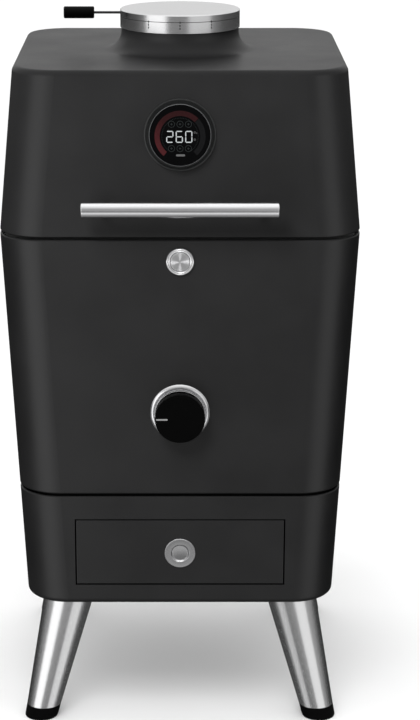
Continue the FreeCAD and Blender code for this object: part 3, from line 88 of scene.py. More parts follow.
def add_node(material, kind, inputs=None, **settings):
    """A node with its settings, and its inputs given as numbers or as other nodes' outputs."""
    node = material.node_tree.nodes.new(kind)
    for name, value in settings.items():
        setattr(node, name, value)
    for name, value in (inputs or {}).items():
        if isinstance(value, bpy.types.NodeSocket):
            material.node_tree.links.new(value, node.inputs[name])
        else:
            node.inputs[name].default_value = value
    return node


def coordinates(material, stretch=(1, 1, 1), turn=(0, 0, 0), origin=(0, 0, 0)):
    """Position on the object in metres, moved to an origin, turned and stretched."""
    place = add_node(material, "ShaderNodeTexCoord")
    moved = add_node(material, "ShaderNodeVectorMath", {0: place.outputs["Object"], 1: origin},
                     operation="SUBTRACT")
    turned = add_node(material, "ShaderNodeMapping", {"Vector": moved.outputs[0], "Rotation": turn})
    scaled = add_node(material, "ShaderNodeVectorMath", {0: turned.outputs[0], 1: stretch},
                      operation="MULTIPLY")
    return scaled.outputs[0]


def noise(material, vector, scale, detail=3.0, roughness=0.55):
    """Smooth noise from 0 to 1. A scale of 1000 per metre gives grains of about a millimetre."""
    node = add_node(material, "ShaderNodeTexNoise",
                    {"Vector": vector, "Scale": scale, "Detail": detail, "Roughness": roughness})
    return node.outputs["Fac"]


def blend_colours(material, factor, low, high, low_at=0.3, high_at=0.7):
    """A colour between low and high that follows a factor."""
    ramp = add_node(material, "ShaderNodeValToRGB", {"Fac": factor})
    ramp.color_ramp.elements[0].position = low_at
    ramp.color_ramp.elements[1].position = high_at
    ramp.color_ramp.elements[0].color = (*low, 1)
    ramp.color_ramp.elements[1].color = (*high, 1)
    return ramp.outputs["Color"]


def spread(material, factor, low, high, low_at=0.3, high_at=0.7):
    """A number between low and high that follows a factor."""
    node = add_node(material, "ShaderNodeMapRange",
                    {"Value": factor, "From Min": low_at, "From Max": high_at, "To Min": low, "To Max": high})
    return node.outputs["Result"]


def bump(material, height, distance, strength=1.0, under=None):
    """Relief from a height of 0 to 1, a distance in metres deep, over another relief if one is given."""
    inputs = {"Height": height, "Distance": distance, "Strength": strength}
    if under is not None:
        inputs["Normal"] = under
    node = add_node(material, "ShaderNodeBump", inputs)
    return node.outputs["Normal"]


# ---------------------------------------------------------------- materials

def powder_coat(name, colour, roughness, level):
    """Baked satin paint: a fine orange-peel grain with slight changes of tone and gloss."""
    material = new_material(name, colour, roughness, Specular_IOR_Level=level)
    place = coordinates(material)
    grain = noise(material, place, 1500, 2)
    peel = noise(material, place, 260, 2)
    cloud = noise(material, place, 9, 3)
    darker = tuple(0.88 * part for part in colour)
    lighter = tuple(1.12 * part for part in colour)
    drive(material, "Base Color", blend_colours(material, cloud, darker, lighter))
    drive(material, "Roughness", spread(material, cloud, roughness - 0.03, roughness + 0.03))
    fine = bump(material, grain, 0.00012, 0.5)
    drive(material, "Normal", bump(material, peel, 0.0002, 0.25, fine))
    return material


def brushed_metal(name, colour, roughness, stretch, turn=(0, 0, 0), grain=2600, anisotropic=0.0):
    """Linear brushing: noise drawn out along one direction drives tone, gloss and fine relief."""
    material = new_material(name, colour, roughness, 1.0, Anisotropic=anisotropic)
    lines = noise(material, coordinates(material, stretch, turn), grain, 3, 0.6)
    dull = tuple(0.9 * part for part in colour)
    shine = tuple(min(1.0, 1.05 * part) for part in colour)
    drive(material, "Base Color", blend_colours(material, lines, dull, shine))
    drive(material, "Roughness", spread(material, lines, roughness - 0.03, roughness + 0.04))
    drive(material, "Normal", bump(material, lines, 0.00001, 0.35))
    return material


def turned_metal(name, colour, roughness, anisotropic=0.7):
    """A face finished on a lathe: fine rings about the piece's own Z axis, with the sheen that they give."""
    material = new_material(name, colour, roughness, 1.0, Anisotropic=anisotropic)
    place = coordinates(material)
    flat = add_node(material, "ShaderNodeVectorMath", {0: place, 1: (1, 1, 0)}, operation="MULTIPLY")
    radius = add_node(material, "ShaderNodeVectorMath", {0: flat.outputs[0]}, operation="LENGTH")
    rings = add_node(material, "ShaderNodeTexNoise",
                     {"W": radius.outputs["Value"], "Scale": 3600.0, "Detail": 3.0}, noise_dimensions="1D")
    around = add_node(material, "ShaderNodeVectorMath", {0: (0, 0, 1), 1: flat.outputs[0]},
                      operation="CROSS_PRODUCT")
    tangent = add_node(material, "ShaderNodeVectorTransform", {"Vector": around.outputs[0]},
                       vector_type="VECTOR", convert_from="OBJECT", convert_to="WORLD")
    unit = add_node(material, "ShaderNodeVectorMath", {0: tangent.outputs[0]}, operation="NORMALIZE")
    drive(material, "Tangent", unit.outputs[0])
    dull = tuple(0.86 * part for part in colour)
    drive(material, "Base Color", blend_colours(material, rings.outputs["Fac"], dull, colour))
    drive(material, "Roughness", spread(material, rings.outputs["Fac"], roughness - 0.04, roughness + 0.05))
    drive(material, "Normal", bump(material, rings.outputs["Fac"], 0.00001, 0.3))
    return material


def moulded_plastic(name, colour, roughness, grain=1900, relief=0.00005, level=0.5):
    """Moulded plastic or rubber with a spark-eroded surface."""
    material = new_material(name, colour, roughness, Specular_IOR_Level=level)
    place = coordinates(material)
    texture = noise(material, place, grain, 2)
    cloud = noise(material, place, 60, 3)
    lighter = tuple(1.25 * part for part in colour)
    drive(material, "Base Color", blend_colours(material, cloud, colour, lighter))
    drive(material, "Roughness", spread(material, cloud, roughness - 0.04, roughness + 0.05))
    drive(material, "Normal", bump(material, texture, relief, 0.6))
    return material


def enamel(name):
    """Dark vitreous enamel with pale specks under a wavy gloss."""
    material = new_material(name, (0.02, 0.022, 0.026), 0.16, Coat_Weight=0.4, Coat_Roughness=0.08)
    place = coordinates(material)
    specks = noise(material, place, 650, 2, 0.6)
    colour = blend_colours(material, specks, (0.018, 0.02, 0.024), (0.42, 0.43, 0.45), 0.66, 0.72)
    drive(material, "Base Color", colour)
    wave = noise(material, place, 70, 2)
    drive(material, "Roughness", spread(material, wave, 0.12, 0.24))
    drive(material, "Normal", bump(material, wave, 0.0004, 0.2))
    return material


def sheet_metal(name, colour, roughness):
    """Mill or zinc finish: soft cloudy patches and long rolling marks."""
    material = new_material(name, colour, roughness, 1.0)
    place = coordinates(material)
    cells = add_node(material, "ShaderNodeTexVoronoi", {"Vector": place, "Scale": 110.0, "Randomness": 1.0})
    rolled = noise(material, coordinates(material, (1, 0.03, 1)), 900, 3)
    tone = tuple(0.82 * part for part in colour)
    drive(material, "Base Color", blend_colours(material, cells.outputs["Color"], tone, colour))
    drive(material, "Roughness", spread(material, rolled, roughness - 0.06, roughness + 0.1))
    drive(material, "Normal", bump(material, rolled, 0.00005, 0.5))
    return material


def fibre(name, colour):
    """Matted ceramic fibre."""
    material = new_material(name, colour, 0.95, Sheen_Weight=0.3)
    strands = noise(material, coordinates(material, (1, 1, 6)), 340, 6, 0.75)
    shade = tuple(0.72 * part for part in colour)
    drive(material, "Base Color", blend_colours(material, strands, shade, colour))
    drive(material, "Normal", bump(material, strands, 0.0012, 0.7))
    return material


def woven_rope(name, colour):
    """Braided glass-fibre rope: two crossing sets of diagonal threads."""
    material = new_material(name, colour, 0.9, Sheen_Weight=0.2)
    waves = []
    for slant in (0.6, -0.6):
        place = coordinates(material, (1, 1, 1), (slant, slant, 0.5))
        wave = add_node(material, "ShaderNodeTexWave", {"Vector": place, "Scale": 160.0, "Distortion": 1.5})
        waves.append(wave.outputs["Fac"])
    braid = add_node(material, "ShaderNodeMath", {0: waves[0], 1: waves[1]}, operation="MAXIMUM")
    shade = tuple(0.45 * part for part in colour)
    drive(material, "Base Color", blend_colours(material, braid.outputs[0], shade, colour, 0.2, 0.9))
    drive(material, "Normal", bump(material, braid.outputs[0], 0.0006, 0.8))
    return material


def circuit_board(name):
    """Green solder resist with paler copper tracks showing through."""
    material = new_material(name, (0.01, 0.1, 0.04), 0.3, Coat_Weight=0.3, Coat_Roughness=0.1)
    tracks = add_node(material, "ShaderNodeTexBrick",
                      {"Vector": coordinates(material, (1, 1, 1), (math.pi / 2, 0, 0)), "Scale": 42.0,
                       "Color1": (0.012, 0.12, 0.045, 1), "Color2": (0.008, 0.08, 0.03, 1),
                       "Mortar": (0.05, 0.22, 0.09, 1), "Mortar Size": 0.018})
    drive(material, "Base Color", tracks.outputs["Color"])
    drive(material, "Normal", bump(material, tracks.outputs["Fac"], 0.0001, 0.6))
    return material


def heat_tinted(name):
    """A metal sheath that has been red hot: brown and blue-grey bands of scale."""
    material = new_material(name, (0.12, 0.1, 0.09), 0.5, 0.8)
    scale = noise(material, coordinates(material), 120, 5, 0.65)
    drive(material, "Base Color", blend_colours(material, scale, (0.05, 0.045, 0.05), (0.2, 0.15, 0.11)))
    drive(material, "Roughness", spread(material, scale, 0.4, 0.7))
    drive(material, "Normal", bump(material, scale, 0.0002, 0.5))
    return material


def smoked_glass(name):
    """Black cover glass with an anti-glare coating and a trace of fingertip haze."""
    material = new_material(name, (0.0008, 0.0008, 0.001), 0.1, Specular_IOR_Level=0.08)
    haze = noise(material, coordinates(material), 55, 4)
    drive(material, "Roughness", spread(material, haze, 0.08, 0.2))
    clean, hazy = (0.0006, 0.0006, 0.0008), (0.0012, 0.0012, 0.0014)
    drive(material, "Base Color", blend_colours(material, haze, clean, hazy))
    return material


def lit_print(name, colour, light=1.0, towards=None):
    """Graphics lit from behind, a little uneven. towards gives a direction in which they brighten."""
    material = new_material(name, colour, 0.5, Emission_Strength=light, Specular_IOR_Level=0.05)
    glow = noise(material, coordinates(material), 420, 2)
    dim = tuple(0.82 * part for part in colour)
    shade = blend_colours(material, glow, dim, colour)
    drive(material, "Base Color", blend_colours(material, glow, (0.002,) * 3, (0.004,) * 3))
    if towards:
        along = add_node(material, "ShaderNodeVectorMath", {0: coordinates(material), 1: towards},
                         operation="DOT_PRODUCT")
        gain = spread(material, along.outputs["Value"], 0.75, 2.1, 0.0, 0.036)
        scaled = add_node(material, "ShaderNodeVectorMath", {0: shade, "Scale": gain}, operation="SCALE")
        shade = scaled.outputs[0]
    drive(material, "Emission Color", shade)
    return material


LEG_STEEL = (0.68, 0.68, 0.685)
# Stretches that draw the grain of brushed metal out along one axis.
ALONG_Z = (1, 1, 0.012)
ALONG_X = (0.012, 1, 1)


def paint_cad_nodes():
    """One material for each CAD node, by the way that the real piece is finished, except the seam spacer and
    the gasket, whose near black is painted shade for the seam gaps.
    """
    paint = powder_coat("black_powder_coat", (0.0048, 0.0048, 0.0049), 0.42, 0.12)
    hinge_paint = powder_coat("hinge_paint", (0.01, 0.01, 0.0105), 0.5, 0.25)
    inner_steel = sheet_metal("inner_steel", (0.50, 0.49, 0.48), 0.34)
    zinc = sheet_metal("zinc_plate", (0.50, 0.51, 0.53), 0.42)
    materials = {
        paint: ("base_shell", "body_shell", "lid_shell", "drawer_front", "rear_cover"),
        hinge_paint: ("hinge_brackets", "hinge_leaves"),
        brushed_metal("leg_steel", LEG_STEEL, 0.24, ALONG_Z): (
            "leg_front_left", "leg_front_right", "leg_back_left", "leg_back_right"),
        brushed_metal("cap_steel", (0.71, 0.71, 0.715), 0.22, ALONG_X): ("vent_cap", "handle_posts"),
        # The seam spacer is coloured near black with almost no gloss instead of zinc: painted shade for the
        # dark gap of the lower seam.
        moulded_plastic("seam_black", (0.002, 0.002, 0.002), 0.8, 900, 0.0001, 0.05): ("seam_spacer",),
        inner_steel: ("ash_chute", "charcoal_basket", "grill_supports", "cooking_grill", "warming_grill",
                      "temperature_probe", "vent_sleeve", "vent_bridge", "hinge_pins", "cabinet_fasteners",
                      "lid_fasteners"),
        zinc: ("element_flange", "intake_duct", "dial_plate", "intake_shutter", "dial_shaft",
               "drawer_tray", "drawer_rails"),
        moulded_plastic("foot_rubber", (0.0012, 0.0012, 0.0012), 0.6, 1300, 0.00012, 0.06): (
            "foot_front_left", "foot_front_right", "foot_back_left", "foot_back_right"),
        moulded_plastic("pointer_grey", (0.24, 0.24, 0.24), 0.5): ("dial_pointer",),
        enamel("black_enamel"): ("firebox_liner", "lid_liner", "drip_pan", "ash_pan"),
        fibre("ceramic_fibre", (0.72, 0.69, 0.62)): ("body_insulation", "lid_insulation"),
        # The gasket rope is coloured near black, darker than the rope's own grey: painted shade, so that it
        # reads dark through the gap of the seam.
        woven_rope("gasket_rope", (0.004, 0.004, 0.004)): ("body_gasket",),
        heat_tinted("element_sheath"): ("heating_element",),
        moulded_plastic("module_plastic", (0.03, 0.03, 0.032), 0.5): ("display_module", "button_switch"),
        circuit_board("board_green"): ("control_board",),
        moulded_plastic("inlet_plastic", (0.012, 0.012, 0.012), 0.4): ("power_inlet",),
    }
    for material, names in materials.items():
        for name in names:
            mesh = nodes[name].data
            mesh.materials.clear()
            mesh.materials.append(material)


# ---------------------------------------------------------------- turned pieces

BODY_NORMAL = -Vector(next(joint for joint in frame["joints"] if joint["name"] == "dial_turn")["axis"])
LID_NORMAL = Vector((0, -math.cos(LID_TILT), math.sin(LID_TILT)))


class Face:
    """The outer end of a CAD node along a direction, in line with the node's middle."""

    def __init__(self, node, normal):
        self.normal = Vector(normal).normalized()
        level = Vector((0, 0, 1)) if abs(self.normal.x) > 0.5 else Vector((1, 0, 0))
        self.side = (level - self.normal * level.dot(self.normal)).normalized()
        self.up = self.normal.cross(self.side)
        corners = [vertex.co for vertex in nodes[node].data.vertices]
        heights = [self.normal.dot(corner) for corner in corners]
        widths = [self.side.dot(corner) for corner in corners]
        low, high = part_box(node)
        middle = (Vector(low) + Vector(high)) / 2
        self.origin = middle + self.normal * (max(heights) - self.normal.dot(middle))
        self.depth = (max(heights) - min(heights)) / MM
        self.radius = (max(widths) - min(widths)) / 2 / MM

    def matrix(self):
        turn = Matrix((self.side, self.up, self.normal)).transposed().to_4x4()
        return Matrix.Translation(self.origin) @ turn


def softened(points, radius, steps=4):
    """The outline with its corners rounded, each by no more than a third of the runs beside it."""
    result = [points[0]]
    for before, corner, after in zip(points, points[1:], points[2:]):
        before, corner, after = Vector(before), Vector(corner), Vector(after)
        reach = min(radius, (corner - before).length / 3, (after - corner).length / 3)
        start = corner + (before - corner).normalized() * reach
        end = corner + (after - corner).normalized() * reach
        for step in range(steps + 1):
            along = step / steps
            result.append(tuple(start.lerp(corner, along).lerp(corner.lerp(end, along), along)))
    return result + [points[-1]]


def turned_piece(name, face, outline, material, body, replaced=(), steps=160, corner=0.4):
    """A solid of revolution about a face's normal, from (radius, height) points in millimetres."""
    closed = outline[0] == outline[-1]
    points = softened(outline, corner)
    if closed:
        points = points[:-1]
    shape = bmesh.new()
    rings = []
    for radius, height in points:
        if radius < 1e-6:
            rings.append([shape.verts.new((0, 0, height * MM))])
            continue
        angles = [2 * math.pi * step / steps for step in range(steps)]
        across = [(radius * math.cos(angle), radius * math.sin(angle)) for angle in angles]
        rings.append([shape.verts.new((x * MM, y * MM, height * MM)) for x, y in across])
    pairs = list(zip(rings, rings[1:]))
    if closed:
        pairs.append((rings[-1], rings[0]))
    for lower, upper in pairs:
        for step in range(steps):
            after = (step + 1) % steps
            corners = [lower[step % len(lower)], lower[after % len(lower)],
                       upper[after % len(upper)], upper[step % len(upper)]]
            unique = list(dict.fromkeys(corners))
            if len(unique) > 2:
                shape.faces.new(unique)
    bmesh.ops.recalc_face_normals(shape, faces=shape.faces)
    for side in shape.faces:
        side.smooth = True
    return finished_piece(name, shape, face, material, body, replaced)


def finished_piece(name, shape, face, material, body, replaced=()):
    """An object made of a bmesh in a face's own frame, riding on a body."""
    mesh = bpy.data.meshes.new(name)
    shape.to_mesh(mesh)
    shape.free()
    mesh.materials.append(material)
    mesh.set_sharp_from_angle(angle=math.radians(32))
    piece = bpy.data.objects.new(name, mesh)
    bpy.context.scene.collection.objects.link(piece)
    piece.matrix_world = face.matrix()
    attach(piece, body)
    if replaced:
        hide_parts(*replaced)
    return piece


def make_power_button():
    """A crowned ring round a button whose face is turned."""
    ring_steel = turned_metal("ring_steel", (0.86, 0.86, 0.87), 0.26, 0.3)
    cap_steel = turned_metal("button_steel", (0.84, 0.84, 0.85), 0.46, 1.0)
    face = Face("button_bezel", BODY_NORMAL)
    outer, bore, back = face.radius, Face("button_cap", BODY_NORMAL).radius + 0.25, -face.depth
    ring = [(bore, back + 1), (bore + 0.65, back + 1), (bore + 0.65, -5), (outer, -5), (outer, -3.6),
            (outer - 0.3, -2.2), (outer - 1, -1), (outer - 2, -0.3), (outer - 3.2, 0), (outer - 4.4, -0.3),
            (bore + 0.5, -0.9), (bore, -1.7), (bore, back + 1)]
    turned_piece("button_ring", face, ring, ring_steel, "cabinet", ["button_bezel"],
                 corner=0.25)
    face = Face("button_cap", BODY_NORMAL)
    rim, back = face.radius, -face.depth
    cap = [(0, back), (rim - 4, back), (rim - 4, back + 4), (rim, back + 4), (rim, -1.3), (rim - 0.5, -0.4),
           (rim - 1.2, 0), (0, -0.5)]
    turned_piece("button_dome", face, cap, cap_steel, "button", ["button_cap"], corner=0.2)


def make_air_dial():
    """A stepped ring round a satin black knob."""
    ring_steel = turned_metal("dial_steel", (0.74, 0.74, 0.75), 0.2, 0.4)
    knob_black = moulded_plastic("knob_plastic", (0.0012, 0.0012, 0.0012), 0.42, 2400, 0.00002, 0.035)
    face = Face("dial_bezel", BODY_NORMAL)
    outer, collar = face.radius, Face("dial_cap", BODY_NORMAL).radius + 0.4
    base = -face.depth
    ring = [(collar - 4, base), (outer, base), (outer, base + 0.4), (outer - 0.8, base + 1.2),
            (outer - 2, base + 2.2), (outer - 3.3, base + 3), (outer - 4.3, base + 3.3),
            (outer - 4.7, base + 1.6), (outer - 5.4, base + 1.6), (outer - 5.7, base + 3), (collar + 0.4, -1),
            (collar, -0.4), (collar - 4, -0.4), (collar - 4, base)]
    turned_piece("dial_ring", face, ring, ring_steel, "cabinet", ["dial_bezel"], corner=0.5)
    face = Face("dial_cap", BODY_NORMAL)
    rim, back = face.radius, -face.depth
    knob = [(4, back + 4), (8.5, back + 4), (8.5, -3), (rim - 3, -3), (rim - 3, back + 4), (rim, back + 4),
            (rim, -1.8), (rim - 0.5, -0.7), (rim - 1.6, 0), (rim - 2.2, -0.12), (0, -0.12)]
    turned_piece("dial_knob", face, knob, knob_black, "dial", ["dial_cap"], corner=0.3)


def make_display_rings():
    """The display's sloped bezel, its thin rim and its cover glass."""
    bezel_black = moulded_plastic("bezel_plastic", (0.0065, 0.0072, 0.0072), 0.34, 1900, 0.00003, 0.55)
    rim_chrome = turned_metal("rim_chrome", (0.22, 0.225, 0.23), 0.22, 0.2)
    face = Face("display_bezel", LID_NORMAL)
    outer, height = face.radius, face.depth
    bore = Face("display_rim", LID_NORMAL).radius
    ring = [(bore, -height), (outer, -height), (outer, 1.4 - height), (outer - 0.7, 2.3 - height),
            (outer - 1.9, 2.7 - height), (outer - 2.3, 2.5 - height), (outer - 2.7, 3.1 - height),
            (bore + 0.7, 0), (bore, 0), (bore, -height)]
    turned_piece("display_ring", face, ring, bezel_black, "lid", ["display_bezel"], corner=0.3)
    face = Face("display_rim", LID_NORMAL)
    outer, depth = face.radius, face.depth
    inner = Face("display_lens", LID_NORMAL).radius
    rim = [(inner, -depth), (outer, -depth), (outer, -0.5), (outer - 0.35, -0.05), (inner + 0.3, 0),
           (inner, -0.4), (inner, -depth)]
    turned_piece("display_trim", face, rim, rim_chrome, "lid", ["display_rim"], corner=0.2)
    face = Face("display_lens", LID_NORMAL)
    edge = face.radius
    glass = [(0, -face.depth), (edge, -face.depth), (edge, -0.7), (edge - 0.9, 0), (0, 0)]
    turned_piece("display_cover", face, glass, smoked_glass("display_glass"), "lid",
                 ["display_lens"], corner=0.2)


def make_handle_and_lever():
    """The lid's handle bar with bevelled ends, and the vent's lever with its grip."""
    bar_steel = brushed_metal("bar_steel", (0.78, 0.78, 0.79), 0.2, ALONG_Z)
    rod_steel = brushed_metal("rod_steel", (0.09, 0.09, 0.09), 0.2, ALONG_Z)
    grip = moulded_plastic("grip_rubber", (0.0012, 0.0012, 0.0012), 0.5, 1500, 0.00008, 0.06)
    face = Face("handle_bar", (1, 0, 0))
    radius, length = face.radius, face.depth
    bar = [(0, -0.25), (radius - 3, -0.25), (radius - 2.6, 0), (radius - 0.9, 0), (radius, -0.9),
           (radius, 0.9 - length), (radius - 0.9, -length), (radius - 2.6, -length),
           (radius - 3, 0.25 - length), (0, 0.25 - length)]
    turned_piece("handle_rod", face, bar, bar_steel, "lid", ["handle_bar"], corner=0.5)
    face = Face("vent_lever", (-1, 0, 0))
    rod = [(0, 0), (face.radius, 0), (face.radius, -face.depth), (0, -face.depth)]
    turned_piece("lever_rod", face, rod, rod_steel, "vent", ["vent_lever"], 64, corner=0.4)
    face = Face("vent_grip", (-1, 0, 0))
    radius, length = face.radius, face.depth
    sleeve = [(0, -0.3), (radius - 2.8, -0.3), (radius - 2.4, 0), (radius - 1.2, 0), (radius, -1.2),
              (radius, 1.2 - length), (radius - 1.2, -length), (0, -length)]
    turned_piece("lever_grip", face, sleeve, grip, "vent", ["vent_grip"], 96, corner=0.6)


def make_drawer_pull():
    """A flat flange round a shallow finger dish."""
    steel = turned_metal("pull_steel", (0.41, 0.41, 0.415), 0.3, 0.2)
    face = Face("drawer_pull", BODY_NORMAL)
    rim, cup, proud = face.radius, face.radius - 9.6, 1.8
    dish, rise = cup - 2.2, 0.9
    bowl = [(dish * step / 6, rise * (step / 6) ** 2 - 3.7) for step in range(7)] + [(cup, -0.2)]
    back = [(radius * (1 + 0.8 / cup), height - 1.2) for radius, height in bowl]
    lip = [(cup + 0.5, 0), (rim - 1, 0), (rim, -0.9), (rim, -proud), (cup + 1.4, -proud)]
    turned_piece("pull_cup", face, bowl + lip + back[::-1], steel, "drawer", ["drawer_pull"],
                 corner=0.25)


def make_vent_scale():
    """The dark engraved scale that runs round the front of the vent cap."""
    ink = moulded_plastic("scale_ink", (0.012, 0.012, 0.012), 0.6)
    low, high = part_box("vent_cap")
    radius = (high.y - low.y) / 2 + 0.04 * MM
    inside = radius - 0.3 * MM
    line = low.z + 0.62 * (high.z - low.z)
    shape = bmesh.new()

    def strip(start, end, bottom, top):
        """A stretch of the cap's wall, in degrees from the front, between two heights."""
        steps = max(2, int(abs(end - start)))
        columns = []
        for step in range(steps + 1):
            angle = math.radians(start + (end - start) * step / steps - 90)
            across = Vector((math.cos(angle), math.sin(angle), 0))
            corners = [(inside, bottom), (radius, bottom), (radius, top), (inside, top)]
            columns.append([shape.verts.new(across * reach + Vector((0, 0, height)))
                            for reach, height in corners])
        for left, right in zip(columns, columns[1:]):
            for index in range(4):
                after = (index + 1) % 4
                shape.faces.new((left[index], left[after], right[after], right[index]))
        shape.faces.new(columns[0][::-1])
        shape.faces.new(columns[-1])

    strip(-72, 72, line - 0.4 * MM, line + 0.4 * MM)
    for turn in (-31, 0, 31):
        for bottom, top in ((-10.5, -8), (-6, -3.5), (-1.5, 1.5)):
            strip(turn - 0.55, turn + 0.55, line + bottom * MM, line + top * MM)
    bmesh.ops.recalc_face_normals(shape, faces=shape.faces)
    mesh = bpy.data.meshes.new("vent_scale")
    shape.to_mesh(mesh)
    shape.free()
    mesh.materials.append(ink)
    piece = bpy.data.objects.new("vent_scale", mesh)
    bpy.context.scene.collection.objects.link(piece)
    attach(piece, "vent")


# ---------------------------------------------------------------- display graphics

def flat_piece(name, face, outlines, material, body, thickness=0.12):
    """Thin raised shapes on a face, one for each outline of (x, y) points in millimetres."""
    shape = bmesh.new()
    for outline in outlines:
        bottom = [shape.verts.new((x * MM, y * MM, 0)) for x, y in outline]
        top = [shape.verts.new((x * MM, y * MM, thickness * MM)) for x, y in outline]
        shape.faces.new(top)
        shape.faces.new(bottom[::-1])
        count = len(outline)
        for index in range(count):
            after = (index + 1) % count
            shape.faces.new((bottom[index], bottom[after], top[after], top[index]))
    bmesh.ops.recalc_face_normals(shape, faces=shape.faces)
    return finished_piece(name, shape, face, material, body)


def arc_strip(radius_in, radius_out, start, end, steps=48):
    """A stretch of a ring, in degrees anticlockwise from the right, as one closed outline."""
    angles = [math.radians(start + (end - start) * step / steps) for step in range(steps + 1)]
    outer = [(radius_out * math.cos(angle), radius_out * math.sin(angle)) for angle in angles]
    inner = [(radius_in * math.cos(angle), radius_in * math.sin(angle)) for angle in reversed(angles)]
    return outer + inner


def rounded_bar(x, y, length, width, upright=False, steps=6):
    """A bar with round ends about a middle point."""
    half, radius = (length - width) / 2, width / 2
    points = []
    for side, first in ((1, -90), (-1, 90)):
        for step in range(steps + 1):
            angle = math.radians(first + 180 * step / steps)
            points.append((side * half + radius * math.cos(angle), radius * math.sin(angle)))
    if upright:
        points = [(-py, px) for px, py in points]
    return [(x + px, y + py) for px, py in points]


SEGMENTS = {
    "2": "abged",
    "6": "afgedc",
    "0": "abcdef",
}
DIGIT_WIDTH, DIGIT_HEIGHT, DIGIT_STROKE = 10.4, 17.3, 1.45
# The graphics sit a little below the middle of the glass.
GRAPHICS_DROP = 1.4 * MM
ARC_IN, ARC_OUT = 29.6, 37.2


def segment_outline(segment, x, y):
    """One bar of a seven-segment digit, pointed at both ends."""
    half_w, half_h = (DIGIT_WIDTH - DIGIT_STROKE) / 2, (DIGIT_HEIGHT - DIGIT_STROKE) / 2
    across = segment in "agd"
    middle = {"a": (0, half_h), "g": (0, 0), "d": (0, -half_h), "b": (half_w, half_h / 2),
              "c": (half_w, -half_h / 2), "f": (-half_w, half_h / 2), "e": (-half_w, -half_h / 2)}[segment]
    reach = (half_w if across else half_h / 2) - 0.25
    bar = DIGIT_STROKE / 2
    points = [(-reach, 0), (bar - reach, bar), (reach - bar, bar), (reach, 0),
              (reach - bar, -bar), (bar - reach, -bar)]
    if not across:
        points = [(-py, px) for px, py in points]
    return [(x + middle[0] + px, y + middle[1] + py) for px, py in points]


def icon_outlines(x, y):
    """A faint round key: a ring with a small cross inside."""
    ring = [(x + px, y + py) for px, py in arc_strip(4.3, 4.8, 0, 359, 40)]
    return [ring, rounded_bar(x, y, 3.4, 0.6), rounded_bar(x, y, 3.4, 0.6, upright=True)]


def make_display_graphics():
    """What the display shows: a number, a lit arc, its unlit rest, keys, a unit and a bar."""
    face = Face("display_lens", LID_NORMAL)
    face.origin -= face.up * GRAPHICS_DROP
    white = lit_print("digit_white", (0.66, 0.69, 0.7))
    red = lit_print("arc_red", (0.036, 0.006, 0.0072), 1.0, (-0.7, -0.7, 0))
    idle = lit_print("arc_idle", (0.0045, 0.0045, 0.0052))
    faint = lit_print("icon_grey", (0.036, 0.042, 0.042))
    pill = lit_print("pill_grey", (0.15, 0.15, 0.15))
    digits = []
    for index, digit in enumerate("260"):
        x = (index - 1) * 13.8 - 1
        digits += [segment_outline(segment, x, -0.7) for segment in SEGMENTS[digit]]
    flat_piece("display_digits", face, digits, white, "lid")
    flat_piece("display_arc_heat", face, [arc_strip(ARC_IN, ARC_OUT, 44, 230)], red, "lid")
    flat_piece("display_arc_idle", face, [arc_strip(ARC_IN, ARC_OUT, -48, 43)], idle, "lid")
    keys = []
    for y in (17.6, -17.8):
        for x in (-12.4, 0, 12.2):
            keys += icon_outlines(x, y)
    ring = [arc_strip(26.2, 26.8, angle, angle + 1.6, 2) for angle in range(-52, 232, 5)]
    flat_piece("display_keys", face, keys + ring, faint, "lid")
    unit = [arc_strip(0.9, 1.5, 0, 359, 16), arc_strip(0.9, 1.5, 0, 359, 16)]
    unit = [[(x + 21.4, y + 5.6 - 10.4 * index) for x, y in outline] for index, outline in enumerate(unit)]
    unit.append(rounded_bar(24.4, 4.6, 2.6, 0.7, upright=True))
    flat_piece("display_units", face, unit, pill, "lid")
    flat_piece("display_pill", face, [rounded_bar(0.8, -27.7, 13.4, 3.0)], pill, "lid")


# ---------------------------------------------------------------- studio

def make_floor():
    """A pale floor. Gloss sees the world instead, and lights that reach below the floor pass through it."""
    mesh = bpy.data.meshes.new("studio_floor")
    half = 20.0
    corners = [(-half, -half, 0), (half, -half, 0), (half, half, 0), (-half, half, 0)]
    mesh.from_pydata(corners, [], [(0, 1, 2, 3)])
    material = new_material("floor_pale", (0.9, 0.9, 0.9), 0.9, Specular_IOR_Level=0.05)
    cloud = noise(material, coordinates(material), 3, 3)
    drive(material, "Base Color", blend_colours(material, cloud, (0.89, 0.89, 0.89), (0.91, 0.91, 0.91)))
    mesh.materials.append(material)
    floor = bpy.data.objects.new("studio_floor", mesh)
    bpy.context.scene.collection.objects.link(floor)
    floor.visible_glossy = False
    floor.visible_shadow = False


def aim(thing, target):
    direction = Vector(target) - thing.location
    thing.rotation_euler = direction.to_track_quat("-Z", "Y").to_euler()


def add_softbox(name, azimuth, elevation, distance, width, tall, power, lit, **visibility):
    """A soft light aimed at the object's middle, for the named pieces only. Azimuth 0 is the front."""
    light = bpy.data.lights.new(name, "AREA")
    light.shape = "RECTANGLE"
    light.size = width
    light.size_y = tall
    light.energy = power
    lamp = bpy.data.objects.new(name, light)
    turn, rise = math.radians(azimuth), math.radians(elevation)
    away = Vector((math.cos(rise) * math.sin(turn), -math.cos(rise) * math.cos(turn), math.sin(rise)))
    lamp.location = OBJECT_MIDDLE + away * distance
    bpy.context.scene.collection.objects.link(lamp)
    aim(lamp, OBJECT_MIDDLE)
    lamp.visible_camera = False
    for setting, value in visibility.items():
        setattr(lamp, setting, value)
    receivers = bpy.data.collections.new(name + "_lit")
    for thing in bpy.context.scene.objects:
        if thing.type == "MESH" and thing.name.startswith(lit):
            receivers.objects.link(thing)
    lamp.light_linking.receiver_collection = receivers
    return lamp


